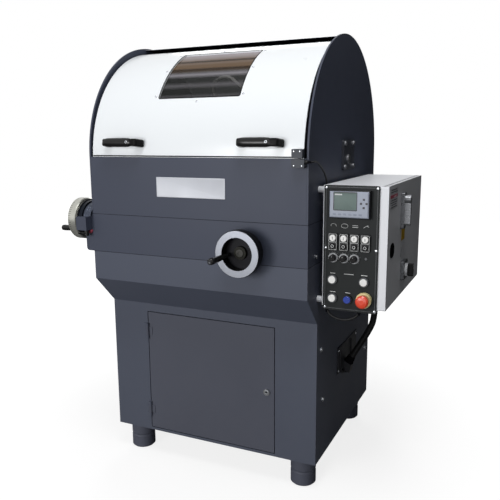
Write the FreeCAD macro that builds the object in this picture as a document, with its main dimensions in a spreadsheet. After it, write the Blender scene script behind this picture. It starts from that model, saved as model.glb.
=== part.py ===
import FreeCAD, Part
import math
import os
import re

import Sketcher

# Circular knife grinder, in millimetres. X points right, Y back and Z up. The origin is on the
# floor, in the middle of the four feet. Every size is a cell of the sheet below.

SIZES = {
    # Body, measured from the middle of the feet
    "body_width": 812,
    "body_front": 450,
    "body_back": 365,
    "pedestal_reach": 350,
    "foot_height": 104,
    "pedestal_height": 503,
    "flare_rise": 104,
    "apron_height": 101,
    "bed_height": 135,
    "panel_height": 200,
    "sheet_wall": 5,
    "overrun": 6,
    "slip": 0.3,
    "snug": 0.1,
    # Feet
    "foot_radius": 45,
    "foot_across": 680,
    "foot_along": 572,
    "foot_chamfer": 5,
    "foot_bore": 7,
    "foot_bore_depth": 35,
    "foot_groove": 3,
    "foot_groove_height": 6,
    # Storage door, its hinges and its cam lock
    "door_width": 507,
    "door_height": 457,
    "door_rise": 13,
    "door_depth": 20,
    "door_wall": 3,
    "door_gap": 3,
    "frame_depth": 22,
    "hinge_radius": 5,
    "hinge_pin": 2.2,
    "hinge_length": 30,
    "hinge_leaf": 18,
    "hinge_leaf_wall": 2,
    "hinge_stand": 0.6,
    "lock_inset": 27,
    "lock_height": 224,
    "lock_radius": 12,
    "lock_head": 5,
    "lock_stem": 5,
    "tongue_length": 46,
    "tongue_width": 14,
    "tongue_wall": 3,
    # Bed casting, its ways and its bearings
    "bed_wall": 16,
    "bed_floor": 18,
    "bed_round": 10,
    "way_height": 95,
    "way_neck": 30,
    "way_top": 44,
    "way_bevel": 14,
    "work_way_pitch": 280,
    "work_way_end": 20,
    "grinding_way_pitch": 150,
    "drain_radius": 20,
    "drain_back": 250,
    "bracket_reach": 33,
    "bracket_length": 92,
    "bracket_round": 12,
    "boss_radius": 30,
    "boss_length": 14,
    # Feed screws and their bearings
    "screw_radius": 9,
    "journal_radius": 7,
    "infeed_across": 198,
    "infeed_rise": 43,
    "infeed_reach": 240,
    "cross_inset": 45,
    "cross_drop": 25,
    "cross_reach": 45,
    "lug_width": 40,
    "lug_wall": 25,
    "lug_rise": 22,
    # Handwheels and their grips
    "wheel_radius": 75,
    "wheel_bore": 52.5,
    "rim_depth": 32,
    "rim_chamfer": 3,
    "dish_depth": 34,
    "drum_radius": 66,
    "drum_length": 15,
    "drum_ring": 3,
    "drum_ring_length": 4,
    "drum_neck_length": 5,
    "hub_radius": 22,
    "hub_rise": 10,
    "grip_orbit": 42,
    "grip_neck": 6.5,
    "grip_radius": 11,
    "front_grip_length": 130,
    "left_grip_length": 108,
    "grip_shoulder": 16,
    "grip_nose": 12,
    "grip_stud": 4,
    "grip_stud_length": 80,
    "grip_lift": 1,
    "front_grip_angle": 192,
    "left_grip_angle": 205,
    # Clamp of the cross feed's dial
    "clamp_end_gap": 0.8,
    "clamp_length": 43.5,
    "clamp_gap": 1.5,
    "clamp_wall": 11.5,
    "clamp_rise": 77,
    "clamp_height": 48,
    "clamp_root": 28,
    "lock_hub_inset": 10,
    "lock_hub_back": 14,
    "lock_hub_radius": 8,
    "lock_hub_height": 20,
    "lock_arm_radius": 5,
    "lock_arm_length": 30,
    "lock_ball_radius": 8,
    # Work slide, work head and work spindle
    "work_offset": 150,
    "work_saddle_width": 250,
    "work_saddle_length": 440,
    "work_saddle_ahead": 110,
    "saddle_rise": 30,
    "saddle_skirt": 20,
    "saddle_round": 8,
    "nut_width": 50,
    "nut_wall": 20,
    "nut_drop": 14.5,
    "spindle_height": 233,
    "head_width": 130,
    "head_front": 20,
    "head_length": 140,
    "head_radius": 72,
    "head_foot": 22,
    "head_motor_radius": 60,
    "head_motor_length": 100,
    "spindle_radius": 20,
    "spindle_depth": 110,
    "nose_gap": 2,
    "flange_radius": 45,
    "flange_wall": 14,
    "arbor_radius": 12.7,
    "arbor_length": 40,
    "arbor_chamfer": 2,
    # Grinding slide, motor, spindle and cup wheel
    "grinding_saddle_width": 260,
    "grinding_saddle_length": 380,
    "grinding_saddle_back": 20,
    "cup_across": 53,
    "cup_ahead": 60,
    "cup_tilt": 20,
    "cup_radius": 62.5,
    "cup_depth": 40,
    "cup_rim": 10,
    "cup_web": 14,
    "cup_flare": 12,
    "cup_hub": 30,
    "motor_gap": 22,
    "motor_radius": 60,
    "motor_length": 225,
    "motor_nose_radius": 35,
    "motor_nose_length": 14,
    "cowl_radius": 56,
    "cowl_length": 42,
    "fin_depth": 4,
    "fin_wall": 4,
    "grinding_shaft": 12,
    "grinding_shaft_depth": 90,
    "column_width": 100,
    "column_length": 110,
    "column_across": 125,
    "column_back": 105,
    # Coolant tank, pump and pipe
    "tank_width": 460,
    "tank_length": 300,
    "tank_height": 200,
    "tank_back": 25,
    "tank_lid": 6,
    "tank_lip": 8,
    "pump_radius": 55,
    "pump_height": 150,
    "pump_flange": 80,
    "pump_flange_wall": 10,
    "pump_cap": 40,
    "pipe_radius": 7,
    "pipe_foot_radius": 13,
    "pipe_foot_height": 20,
    "pipe_inset": 26,
    "pipe_height": 484,
    "pipe_reach": 213.4,
    "pipe_back": 79.2,
    "nozzle_radius": 4,
    "nozzle_length": 30,
    # Upper housing
    "plate_wall": 6,
    "panel_wall": 4,
    "panel_flange": 20,
    "shell_inset": 5.5,
    "shell_wall": 4,
    "shell_angle": 84,
    "pivot_forward": 10,
    "pivot_drop": 14,
    "pin_radius": 15,
    "pin_head": 4,
    "pivot_plate_length": 130,
    "pivot_plate_height": 105,
    "pivot_plate_wall": 8,
    "pivot_bolt_radius": 8,
    "pivot_bolt_head": 5,
    # Hood
    "cover_radius": 398,
    "cover_wall": 4,
    "cover_margin": 16,
    "cover_low": 2.1,
    "cover_high": 90,
    "window_width": 300,
    "window_shift": 2,
    "window_low": 31.5,
    "window_high": 67,
    "pane_wall": 5,
    "pane_overlap": 16,
    "pane_overlap_angle": 2.3,
    "arm_inset": 6,
    "arm_lift": 0.8,
    "arm_wall": 6,
    "arm_border": 55,
    "arm_border_angle": 9,
    "arm_hub": 45,
    "handle_pitch": 504,
    "handle_angle": 8.4,
    "handle_length": 160,
    "handle_height": 42,
    "handle_bar": 15,
    "handle_foot": 28,
    "handle_splay": 12,
    "handle_depth": 25,
    "handle_round": 8,
    "handle_edge": 6.5,
    "switch_inset": 27,
    "switch_width": 40,
    "switch_height": 26,
    "switch_depth": 22,
    "switch_gap": 1,
    "actuator_height": 27,
    "actuator_rise": 2,
    "switch_round": 3,
    # Control cabinet
    "cabinet_gap": 20,
    "cabinet_depth": 180,
    "cabinet_front": 365,
    "cabinet_length": 563,
    "cabinet_drop": 132,
    "cabinet_height": 384,
    "cabinet_wall": 3,
    "cabinet_door": 23,
    "cabinet_door_wall": 3,
    "cabinet_door_round": 4,
    "cabinet_knuckle": 40,
    "stud_radius": 10,
    "stud_inset": 15,
    "gland_radius": 18,
    "gland_height": 12,
    "small_gland_radius": 7,
    "small_gland_height": 8,
    "backplate_inset": 20,
    "backplate_gap": 12,
    "backplate_wall": 3,
    "rail_depth": 12,
    "rail_width": 35,
    "device_gap": 6,
    # Panel on the front of the cabinet
    "face_width": 173,
    "face_height": 396,
    "face_margin": 4,
    "face_drop": 11,
    "face_wall": 4,
    "face_round": 6,
    "display_width": 128.2,
    "display_height": 86,
    "display_depth": 22,
    "display_bevel": 6,
    "screen_width": 71,
    "screen_height": 54,
    "screen_depth": 2,
    "bezel_width": 28,
    "bezel_height": 54,
    "bezel_wall": 8,
    "bezel_round": 4,
    "start_radius": 10,
    "stop_radius": 9,
    "button_radius": 11.5,
    "button_ring": 15,
    "button_stand": 4,
    "button_travel": 4,
    "button_edge": 1,
    "knob_ring": 15,
    "knob_ring_wall": 5,
    "knob_radius": 10,
    "knob_rise": 16,
    "knob_grip": 7,
    "knob_grip_rise": 9,
    "collar_radius": 24,
    "collar_wall": 14,
    "mushroom_radius": 20,
    "mushroom_wall": 14,
    "mushroom_dome": 5,
    "mushroom_stem": 11,
    "mushroom_travel": 5,
    # Fittings on the cabinet door
    "escutcheon_width": 35,
    "escutcheon_height": 118,
    "escutcheon_wall": 12,
    "escutcheon_back": 201,
    "escutcheon_top": 34,
    "lever_hub": 14,
    "lever_width": 16,
    "lever_wall": 18,
    "lever_length": 85,
    "lever_stem": 6,
    "lever_stem_length": 9,
    "isolator_size": 64,
    "isolator_wall": 12,
    "isolator_back": 247,
    "isolator_rise": 85,
    "rotary_radius": 22,
    "rotary_wall": 10,
    "rotary_grip": 12,
    "rotary_grip_wall": 16,
    "rotary_stem": 5,
    "fitting_round": 4,
    # Fitting on the right side of the pedestal
    "port_width": 252,
    "port_height": 98,
    "port_back": 11,
    "port_rise": 244,
    "port_wall": 4,
    "lip_width": 154,
    "lip_height": 106,
    "lip_drop": 18,
    "lip_round": 60,
    "lip_wall": 6,
    "lip_rise": 5,
    "spout_offset": 31,
    "spout_rise": 20,
    "spout_reach": 18,
    "spout_width": 40,
    "spout_half": 16,
    "spout_drop": 38,
    "spout_foot": 26,
    # Cables
    "conduit_radius": 12,
    "cable_radius": 3,
    "loop_radius": 4,
    "loop_drop": 42,
}

# Derived levels and places, as expression texts
PEDESTAL_TOP = "(foot_height + pedestal_height)"
APRON_LOW = f"({PEDESTAL_TOP} + flare_rise)"
BED_LOW = f"({APRON_LOW} + apron_height)"
BED_INSIDE = f"({BED_LOW} + bed_floor)"
BED_HIGH = f"({BED_LOW} + bed_height)"
HOOD_LOW = f"({BED_HIGH} + panel_height)"
CABINET_LOW = f"({BED_LOW} - cabinet_drop)"
CABINET_TOP = f"({CABINET_LOW} + cabinet_height)"
WAY_TOP = f"({BED_INSIDE} + way_height)"
SADDLE_LOW = f"({WAY_TOP} - saddle_skirt)"
SADDLE_TOP = f"({WAY_TOP} + slip + saddle_rise)"
SPINDLE_Z = f"({BED_HIGH} + spindle_height)"
SIDE = "(body_width / 2)"
SIDE_INSIDE = f"({SIDE} - plate_wall)"
DOME_Y = "((body_back - body_front) / 2)"
DOME_RADIUS = "((body_front + body_back) / 2)"
PIVOT_Y = f"({DOME_Y} - pivot_forward)"
PIVOT_Z = f"({HOOD_LOW} - pivot_drop)"
CROSS_Y = "(cross_inset - body_front)"
CROSS_Z = f"({BED_HIGH} - cross_drop)"
INFEED_Z = f"({BED_LOW} + infeed_rise)"
FRONT_HUB_Y = "(-body_front - boss_length - slip)"
LEFT_HUB_X = f"(-{SIDE} - bracket_reach - slip)"
CLAMP_LEFT = f"({LEFT_HUB_X} - drum_length + clamp_end_gap)"
CLAMP_RIGHT = f"({CLAMP_LEFT} + clamp_length)"
CLAMP_BACK = f"({CROSS_Y} - drum_radius - clamp_gap)"
CLAMP_FRONT = f"({CLAMP_BACK} - clamp_wall)"
CLAMP_LOW = f"({BED_LOW} + clamp_rise)"
RIM_BACK = "(drum_length + drum_ring_length + drum_neck_length)"
DISH = f"({RIM_BACK} + rim_depth - dish_depth)"
CABINET_LEFT = f"({SIDE} + cabinet_gap)"
CABINET_RIGHT = f"({CABINET_LEFT} + cabinet_depth)"
CABINET_FACE = f"({CABINET_RIGHT} + cabinet_door)"
CABINET_BACK = "(cabinet_length - cabinet_front)"
CABINET_HINGE_X = f"({CABINET_RIGHT} + hinge_radius)"
CABINET_HINGE_Y = f"({CABINET_BACK} + hinge_radius + hinge_stand)"
FACE_FRONT = "(-cabinet_front - face_wall)"
FACE_LEFT = f"({CABINET_LEFT} + face_margin)"
FACE_LOW = f"({CABINET_LOW} - face_drop)"
COVER_WIDTH = "(body_width - 2 * cover_margin)"
SWITCH_X = f"({SIDE} - switch_inset)"
PORT_LOW = "(foot_height + port_rise)"
DOOR_LOW = "(foot_height + door_rise)"
STORE_HINGE_X = "(-door_width / 2 - door_gap / 2)"
STORE_HINGE_Y = "(-pedestal_reach - hinge_radius - hinge_stand)"
ESCUTCHEON_TOP = f"({CABINET_TOP} - escutcheon_top)"
LEVER_Y = "(escutcheon_back - cabinet_front)"
LEVER_Z = f"({ESCUTCHEON_TOP} - escutcheon_width / 2 - fitting_round)"
ROTARY_Y = "(isolator_back - cabinet_front)"
ROTARY_Z = f"({CABINET_LOW} + isolator_rise)"
FITTING_FACE = f"({CABINET_FACE} + escutcheon_wall)"

# Places on the panel, as shares of its width and height from its lower left corner
COLUMN_SHARES = (0.182, 0.384, 0.578, 0.775)
KNOB_COLUMN_SHARES = (0.188, 0.387, 0.578)
START_ROW_SHARE = 0.588
STOP_ROW_SHARE = 0.524
BEZEL_ROW_SHARE = 0.557
KNOB_ROW_SHARE = 0.429
DISPLAY_SHARES = (0.486, 0.856)
SCREEN_SHARES = (0.41, 0.62)
BUTTON_SHARES = {
    "feed_button": (0.182, 0.252),
    "spindle_button": (0.763, 0.250),
    "coolant_button": (0.185, 0.101),
    "reset_button": (0.468, 0.099),
}
EMERGENCY_SHARES = (0.775, 0.108)
# Heights of the hinges, as shares of their door
HINGE_SHARES = (0.16, 0.84)
CONDUIT_END_SHARE = 0.506
LOOP_END_SHARE = 0.64
# Points of each route, as shares of its reach along X, Y and Z
PIPE_SHARES = (
    (0, 0, 0),
    (0, 0, 0.227),
    (0.021, 0, 0.455),
    (0, 0.069, 0.682),
    (-0.206, 0.278, 0.864),
    (-0.619, 0.556, 1),
    (-1, 0.833, 0.932),
    (-0.887, 0.944, 0.773),
    (-0.619, 1, 0.664),
)
CONDUIT_SHARES = (
    (0, 0, 0),
    (0.42, 0, 0.24),
    (0.78, 0, 0.44),
    (1, 0, 0.62),
    (1, 0, 1),
)
INTERLOCK_SHARES = (
    (0, 0, 0),
    (1.095, 0, 0),
    (1.275, 0.135, -0.024),
    (1.15, 0.385, 0.06),
    (1, 0.673, 0.2),
    (0.97, 0.904, 0.4),
    (1, 1, 0.68),
    (1, 1, 1),
)
LOOP_SHARES = (
    (0, 0, 0),
    (0, 0, 0.476),
    (0.22, 0, 0.857),
    (0.55, 0, 1),
    (0.85, 0, 0.762),
    (1, 0, 0.381),
    (1, 0, 0),
)

CONDUIT_Y = "(port_back - spout_offset)"
CONDUIT_START = (f"({SIDE} + spout_reach)", CONDUIT_Y, f"({PORT_LOW} + spout_rise)")
CONDUIT_END = (f"({CABINET_LEFT} + cabinet_depth * {CONDUIT_END_SHARE})", CONDUIT_Y, f"({CABINET_LOW} - gland_height)")
CONDUIT_REACH = tuple(f"({last} - {first})" for first, last in zip(CONDUIT_START, CONDUIT_END))
# The conduit's first run, which the spout's open face stands square to
LEAN_X = f"({CONDUIT_REACH[0]} * {CONDUIT_SHARES[1][0]})"
LEAN_Z = f"({CONDUIT_REACH[2]} * {CONDUIT_SHARES[1][2]})"
LEAN = f"sqrt({LEAN_X} ^ 2 + {LEAN_Z} ^ 2)"
LOOP_Y = "(stud_inset + small_gland_radius - cabinet_front)"
LOOP_LEFT = f"({CABINET_LEFT} + small_gland_radius + cabinet_wall)"
LOOP_RIGHT = f"({CABINET_LEFT} + cabinet_depth * {LOOP_END_SHARE})"
INTERLOCK_X = f"({CABINET_LEFT} - small_gland_radius)"
INTERLOCK_Y = "(4 * stud_inset - cabinet_front)"
INTERLOCK_Z = f"({CABINET_TOP} - 4 * stud_inset)"

PARALLEL_SHARE = 0.999
FLAT_SPAN = 0.001

UPRIGHT = FreeCAD.Rotation()
X_AXIS = FreeCAD.Vector(1, 0, 0)
Y_AXIS = FreeCAD.Vector(0, 1, 0)
Z_AXIS = FreeCAD.Vector(0, 0, 1)
# Turns that lay a piece's own Z axis along another one
ALONG_X = FreeCAD.Rotation(Y_AXIS, 90)
ALONG_Y = FreeCAD.Rotation(X_AXIS, -90)
TO_FRONT = FreeCAD.Rotation(X_AXIS, 90)
TO_LEFT = FreeCAD.Rotation(Y_AXIS, -90)

document = FreeCAD.newDocument("KnifeGrinder")
sheet = document.addObject("Spreadsheet::Sheet", "Sizes")
for row, (alias, number) in enumerate(SIZES.items(), start=1):
    sheet.set(f"A{row}", alias)
    sheet.set(f"B{row}", str(number))
    sheet.setAlias(f"B{row}", alias)
document.recompute()

nodes = []


def sized(text):
    """The expression text with each size name pointed at its cell."""
    return re.sub(r"[a-z][a-z_]*", lambda word: cell(word.group()), text)


def cell(word):
    """The cell of a size name; any other word stays as it is."""
    return f"Sizes.{word}" if word in SIZES else word


def value(text):
    """The number that an expression text comes to."""
    return float(sheet.evalExpression(sized(text)))


def bind(thing, path, text):
    """Tie one property of an object to the sheet."""
    thing.setExpression(path, sized(str(text)))


def put(thing, place, turn=UPRIGHT):
    """Turn an object, then tie its place to the sheet."""
    thing.Placement = FreeCAD.Placement(FreeCAD.Vector(), turn)
    for axis, text in zip("xyz", place):
        bind(thing, f"Placement.Base.{axis}", text)
    return thing


def swing(thing, place, axis, angle):
    """Place an object and swing it about an axis through that place by an angle from the sheet."""
    put(thing, place, FreeCAD.Rotation(axis, 1))
    bind(thing, "Placement.Rotation.Angle", angle)
    return thing


def block(x, y, z):
    """A box between its low and high texts along each axis."""
    box = document.addObject("Part::Box", "Block")
    for side, (low, high) in zip(("Length", "Width", "Height"), (x, y, z)):
        bind(box, side, f"({high}) - ({low})")
    return put(box, (x[0], y[0], z[0]))


def rod(radius, length, place=("0", "0", "0"), turn=UPRIGHT):
    """A cylinder that starts at a place."""
    cylinder = document.addObject("Part::Cylinder", "Rod")
    bind(cylinder, "Radius", radius)
    bind(cylinder, "Height", length)
    return put(cylinder, place, turn)


def cut(base, *tools):
    """The base less each tool."""
    for tool in tools:
        feature = document.addObject("Part::Cut", "Cut")
        feature.Base = base
        feature.Tool = tool
        base = feature
    return base


def join(*things):
    """One solid of several that meet."""
    feature = document.addObject("Part::MultiFuse", "Join")
    feature.Shapes = list(things)
    feature.Refine = True
    return feature


def group(*things):
    """Separate solids kept together."""
    feature = document.addObject("Part::Compound", "Group")
    feature.Links = list(things)
    return feature


def rounded(thing, radius, chosen, every=False):
    """Fillet the chosen edges, the straight ones or every one, by a size from the sheet."""
    document.recompute()
    size = value(radius)
    picked = []
    for number, edge in enumerate(thing.Shape.Edges, start=1):
        if (every or edge.Curve.TypeId == "Part::GeomLine") and chosen(edge):
            picked.append((number, size, size))
    feature = document.addObject("Part::Fillet", "Rounded")
    feature.Base = thing
    feature.Edges = picked
    return feature


def runs_along(axis):
    """A test for edges parallel to an axis."""
    return lambda edge: abs(edge.tangentAt(edge.FirstParameter).dot(axis)) > PARALLEL_SHARE


def lies_across(axis):
    """A test for edges that lie in a plane square to an axis."""
    return lambda edge: abs(edge.BoundBox.getPoint(0).sub(edge.BoundBox.getPoint(6)).dot(axis)) < FLAT_SPAN


def draw(body, plane, outline):
    """A closed sketch of straight lines whose corners are tied to the sheet."""
    sketch = body.newObject("Sketcher::SketchObject", "Outline")
    origin = next(item for item in body.Origin.OriginFeatures if item.Role == plane)
    sketch.AttachmentSupport = [(origin, "")]
    sketch.MapMode = "FlatFace"
    corners = [FreeCAD.Vector(value(across), value(up), 0) for across, up in outline]
    count = len(corners)
    for index in range(count):
        sketch.addGeometry(Part.LineSegment(corners[index], corners[(index + 1) % count]))
    for index in range(count):
        sketch.addConstraint(Sketcher.Constraint("Coincident", index, 2, (index + 1) % count, 1))
    for index, (corner, texts) in enumerate(zip(corners, outline)):
        for kind, number, text in (("DistanceX", corner.x, texts[0]), ("DistanceY", corner.y, texts[1])):
            place = sketch.addConstraint(Sketcher.Constraint(kind, -1, 1, index, 1, number))
            if text != "0":
                bind(sketch, f"Constraints[{place}]", text)
    return sketch


def prism(plane, outline, length, place=("0", "0", "0")):
    """A padded outline."""
    body = document.addObject("PartDesign::Body", "Prism")
    pad = body.newObject("PartDesign::Pad", "Pad")
    pad.Profile = draw(body, plane, outline)
    bind(pad, "Length", length)
    return put(body, place)


def lathe(outline, place=("0", "0", "0"), turn=UPRIGHT):
    """An outline of (radius, height) corners turned about its own Z axis."""
    body = document.addObject("PartDesign::Body", "Turned")
    sketch = draw(body, "XZ_Plane", outline)
    spin = body.newObject("PartDesign::Revolution", "Revolution")
    spin.Profile = sketch
    spin.ReferenceAxis = (sketch, ["V_Axis"])
    spin.Angle = 360
    return put(body, place, turn)


def sector(radius, low, high, width, place):
    """A slice of a cylinder along X; its angles count up from straight ahead."""
    slice_of = document.addObject("Part::Cylinder", "Slice")
    bind(slice_of, "Radius", radius)
    bind(slice_of, "Height", width)
    bind(slice_of, "Angle", f"({high}) - ({low})")
    slice_of.Placement = FreeCAD.Placement(FreeCAD.Vector(), ALONG_X)
    # Turned by 270 degrees the slice would end straight ahead
    return swing(group(slice_of), place, X_AXIS, f"270 - ({high})")


def arc_shell(radius, wall, low, high, width, place):
    """A curved sheet along X, between two angles that count up from straight ahead."""
    outer = sector(radius, low, high, width, place)
    return cut(outer, sector(f"{radius} - {wall}", low, high, width, place))


def swept(points, radius, bend_share=0.45):
    """A tube along straight runs joined by tangent arcs, and its volume checked."""
    path, length = rounded_path(points, bend_share)
    start = path.Edges[0]
    direction = start.tangentAt(start.FirstParameter)
    circle = Part.Wire(Part.makeCircle(radius, points[0], direction))
    solid = path.makePipeShell([circle], True, False)
    error = abs(solid.Volume / (math.pi * radius**2 * length) - 1)
    if not solid.isValid() or error > 0.01:
        raise RuntimeError("a tube doesn't hold its section")
    return solid


def rounded_path(points, bend_share):
    """The wire through a route's points with every corner rounded, and its length."""
    edges = []
    radii = []
    last = points[0]
    for index in range(1, len(points) - 1):
        back = points[index - 1] - points[index]
        ahead = points[index + 1] - points[index]
        trim = bend_share * min(back.Length, ahead.Length)
        turn = math.pi - back.getAngle(ahead)
        radii.append(trim / math.tan(turn / 2))
        back.normalize()
        ahead.normalize()
        enter = points[index] + back * trim
        leave = points[index] + ahead * trim
        bisector = back + ahead
        bisector.normalize()
        to_centre = radii[-1] / math.cos(turn / 2)
        middle = points[index] + bisector * (to_centre - radii[-1])
        edges.append(Part.LineSegment(last, enter).toShape())
        edges.append(Part.Arc(enter, middle, leave).toShape())
        last = leave
    edges.append(Part.LineSegment(last, points[-1]).toShape())
    print("radii", " ".join(f"{radius:.0f}" for radius in radii))
    return Part.Wire(edges), sum(edge.Length for edge in edges)


def route(start, reach, shares):
    """The points of a route: its start, and each share of its reach along X, Y and Z."""
    low = FreeCAD.Vector(*(value(text) for text in start))
    size = [value(text) for text in reach]
    return [low + FreeCAD.Vector(*(part * span for part, span in zip(point, size))) for point in shares]


def free_shape(shape):
    """A document object that holds a shape made by Part's own functions."""
    feature = document.addObject("Part::Feature", "Shape")
    feature.Shape = shape
    return feature


def sub_part(label, thing):
    """Name a finished sub-part and keep it for writing."""
    thing.Label = label
    nodes.append(thing)
    return thing


def symmetric(text):
    """Low and high texts of a span that the middle plane halves."""
    return (f"-({text}) / 2", f"({text}) / 2")


def centred(middle, text):
    """Low and high texts of a span about a middle."""
    return (f"({middle}) - ({text}) / 2", f"({middle}) + ({text}) / 2")


# Base

def feet():
    """Four machine feet with a bore below for the floor bolt."""
    outline = [
        ("foot_bore", "0"),
        ("foot_radius - foot_chamfer", "0"),
        ("foot_radius", "foot_chamfer"),
        ("foot_radius", "foot_height / 2 - foot_groove_height"),
        ("foot_radius - foot_groove", "foot_height / 2"),
        ("foot_radius", "foot_height / 2 + foot_groove_height"),
        ("foot_radius", "foot_height"),
        ("0", "foot_height"),
        ("0", "foot_bore_depth"),
        ("foot_bore", "foot_bore_depth"),
    ]
    made = []
    for across in ("-foot_across / 2", "foot_across / 2"):
        for along in ("-foot_along / 2", "foot_along / 2"):
            made.append(lathe(outline, (across, along, "0")))
    sub_part("feet", group(*made))


def pedestal_outline(inset, top):
    """Side outline of the pedestal: a jog at the back and a flare to the front."""
    jog = f"{APRON_LOW} - (body_back - pedestal_reach)"
    return [
        (f"{inset} - pedestal_reach", f"foot_height + {inset}"),
        (f"pedestal_reach - {inset}", f"foot_height + {inset}"),
        (f"pedestal_reach - {inset}", jog),
        (f"body_back - {inset}", APRON_LOW),
        (f"body_back - {inset}", top),
        (f"{inset} - body_front", top),
        (f"{inset} - body_front", APRON_LOW),
        (f"{inset} - pedestal_reach", PEDESTAL_TOP),
    ]


def hinge_knuckle(centre, low, high, leaf, pinned):
    """A hinge barrel with its leaf; the pinned one carries the pin, the other its bore."""
    x, y = centre
    barrel = rod("hinge_radius", f"({high}) - ({low})", (x, y, low))
    whole = join(barrel, leaf)
    if pinned:
        return whole
    bore = rod("hinge_pin + slip", f"({high}) - ({low}) + 2 * overrun", (x, y, f"({low}) - overrun"))
    return cut(whole, bore)


def hinge_levels(base, height, share, length):
    """Low and high texts of the middle knuckle of a hinge."""
    middle = f"{base} + {height} * {share}"
    return f"{middle} - {length} / 2", f"{middle} + {length} / 2"


def store_leaf(side, low, high):
    """Hinge leaf on the front of the pedestal: side -1 lies on the frame, 1 on the door."""
    plate = ("-pedestal_reach - hinge_leaf_wall", "-pedestal_reach")
    if side < 0:
        neck = (f"{STORE_HINGE_X} - hinge_radius", f"{STORE_HINGE_X} - door_gap / 2 - snug")
        leaf = (f"{STORE_HINGE_X} - hinge_leaf", neck[1])
    else:
        neck = (f"{STORE_HINGE_X} + door_gap / 2 + snug", f"{STORE_HINGE_X} + hinge_radius")
        leaf = (neck[0], f"{STORE_HINGE_X} + hinge_leaf")
    flat = block(leaf, plate, (low, high))
    bridge = block(neck, (STORE_HINGE_Y, "-pedestal_reach"), (low, high))
    return join(flat, bridge)


def pedestal():
    """Hollow sheet steel pedestal with a framed door opening and the fixed hinge halves."""
    outer = prism("YZ_Plane", pedestal_outline("0", BED_LOW), "body_width", (f"-{SIDE}", "0", "0"))
    hollow = prism(
        "YZ_Plane",
        pedestal_outline("sheet_wall", f"{BED_LOW} + overrun"),
        "body_width - 2 * sheet_wall",
        (f"sheet_wall - {SIDE}", "0", "0"),
    )
    opening_x = symmetric("door_width + 2 * door_gap")
    opening_z = (f"{DOOR_LOW} - door_gap", f"{DOOR_LOW} + door_height + door_gap")
    frame = block(
        symmetric("door_width + 2 * door_gap + 2 * door_wall"),
        ("-pedestal_reach", "frame_depth - pedestal_reach"),
        (f"{opening_z[0]} - door_wall", f"{opening_z[1]} + door_wall"),
    )
    opening = block(opening_x, ("-pedestal_reach - overrun", "frame_depth - pedestal_reach + overrun"), opening_z)
    pieces = [cut(outer, hollow), frame]
    shell = cut(join(*pieces), opening)
    knuckles = []
    for share in HINGE_SHARES:
        low, high = hinge_levels(DOOR_LOW, "door_height", share, "hinge_length")
        ends = ((f"{low} - hinge_length / 2", f"{low} - slip"), (f"{high} + slip", f"{high} + hinge_length / 2"))
        for end_low, end_high in ends:
            leaf = store_leaf(-1, end_low, end_high)
            knuckles.append(hinge_knuckle((STORE_HINGE_X, STORE_HINGE_Y), end_low, end_high, leaf, True))
        pin = rod("hinge_pin", "2 * hinge_length", (STORE_HINGE_X, STORE_HINGE_Y, f"{low} - hinge_length / 2"))
        knuckles.append(pin)
    sub_part("pedestal", join(shell, *knuckles))


def storage_door():
    """Door pan with its hinge halves and the bore of the lock."""
    across = symmetric("door_width")
    up = (DOOR_LOW, f"{DOOR_LOW} + door_height")
    pan = block(across, ("-pedestal_reach", "door_depth - pedestal_reach"), up)
    inside = block(
        symmetric("door_width - 2 * door_wall"),
        ("door_wall - pedestal_reach", "door_depth - pedestal_reach + overrun"),
        (f"{up[0]} + door_wall", f"{up[1]} - door_wall"),
    )
    halves = []
    for share in HINGE_SHARES:
        low, high = hinge_levels(DOOR_LOW, "door_height", share, "hinge_length")
        leaf = store_leaf(1, low, high)
        halves.append(hinge_knuckle((STORE_HINGE_X, STORE_HINGE_Y), low, high, leaf, False))
    bore = rod(
        "lock_stem + slip",
        "door_wall + 2 * overrun",
        ("door_width / 2 - lock_inset", "-pedestal_reach - overrun", f"{DOOR_LOW} + lock_height"),
        ALONG_Y,
    )
    sub_part("storage_door", cut(join(cut(pan, inside), *halves), bore))


def cam_lock():
    """Lock cylinder with a key slot; its tongue hangs down, unlocked, behind the frame."""
    x = "(door_width / 2 - lock_inset)"
    z = f"({DOOR_LOW} + lock_height)"
    behind = "(frame_depth - pedestal_reach + slip)"
    head = rod("lock_radius", "lock_head", (x, "-pedestal_reach - lock_head - slip", z), ALONG_Y)
    stem = rod(
        "lock_stem",
        "lock_head + frame_depth + tongue_wall + slip",
        (x, "-pedestal_reach - lock_head - slip", z),
        ALONG_Y,
    )
    tongue = block(
        centred(x, "tongue_width"),
        (behind, f"{behind} + tongue_wall"),
        (f"{z} - tongue_length", f"{z} + tongue_width / 2"),
    )
    slot = block(
        centred(x, "tongue_wall"),
        ("-pedestal_reach - lock_head - overrun", "-pedestal_reach - lock_head / 2"),
        centred(z, "lock_radius"),
    )
    sub_part("cam_lock", cut(join(head, stem, tongue), slot))


def way_outline(middle, clearance):
    """Dovetail outline of a way: a narrow neck under a wide top, grown by a clearance."""
    half_neck = f"(way_neck / 2 + {clearance})"
    half_top = f"(way_top / 2 + {clearance})"
    return [
        (f"{middle} - {half_neck}", BED_LOW),
        (f"{middle} + {half_neck}", BED_LOW),
        (f"{middle} + {half_neck}", f"{WAY_TOP} - way_bevel - {clearance}"),
        (f"{middle} + {half_top}", f"{WAY_TOP} + {clearance}"),
        (f"{middle} - {half_top}", f"{WAY_TOP} + {clearance}"),
        (f"{middle} - {half_neck}", f"{WAY_TOP} - way_bevel - {clearance}"),
    ]


def work_way(side, clearance, start, length):
    """One dovetail along X for the work slide."""
    middle = f"(-work_saddle_ahead + {side} * work_way_pitch / 2)"
    return prism("YZ_Plane", way_outline(middle, clearance), length, (start, "0", "0"))


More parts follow.
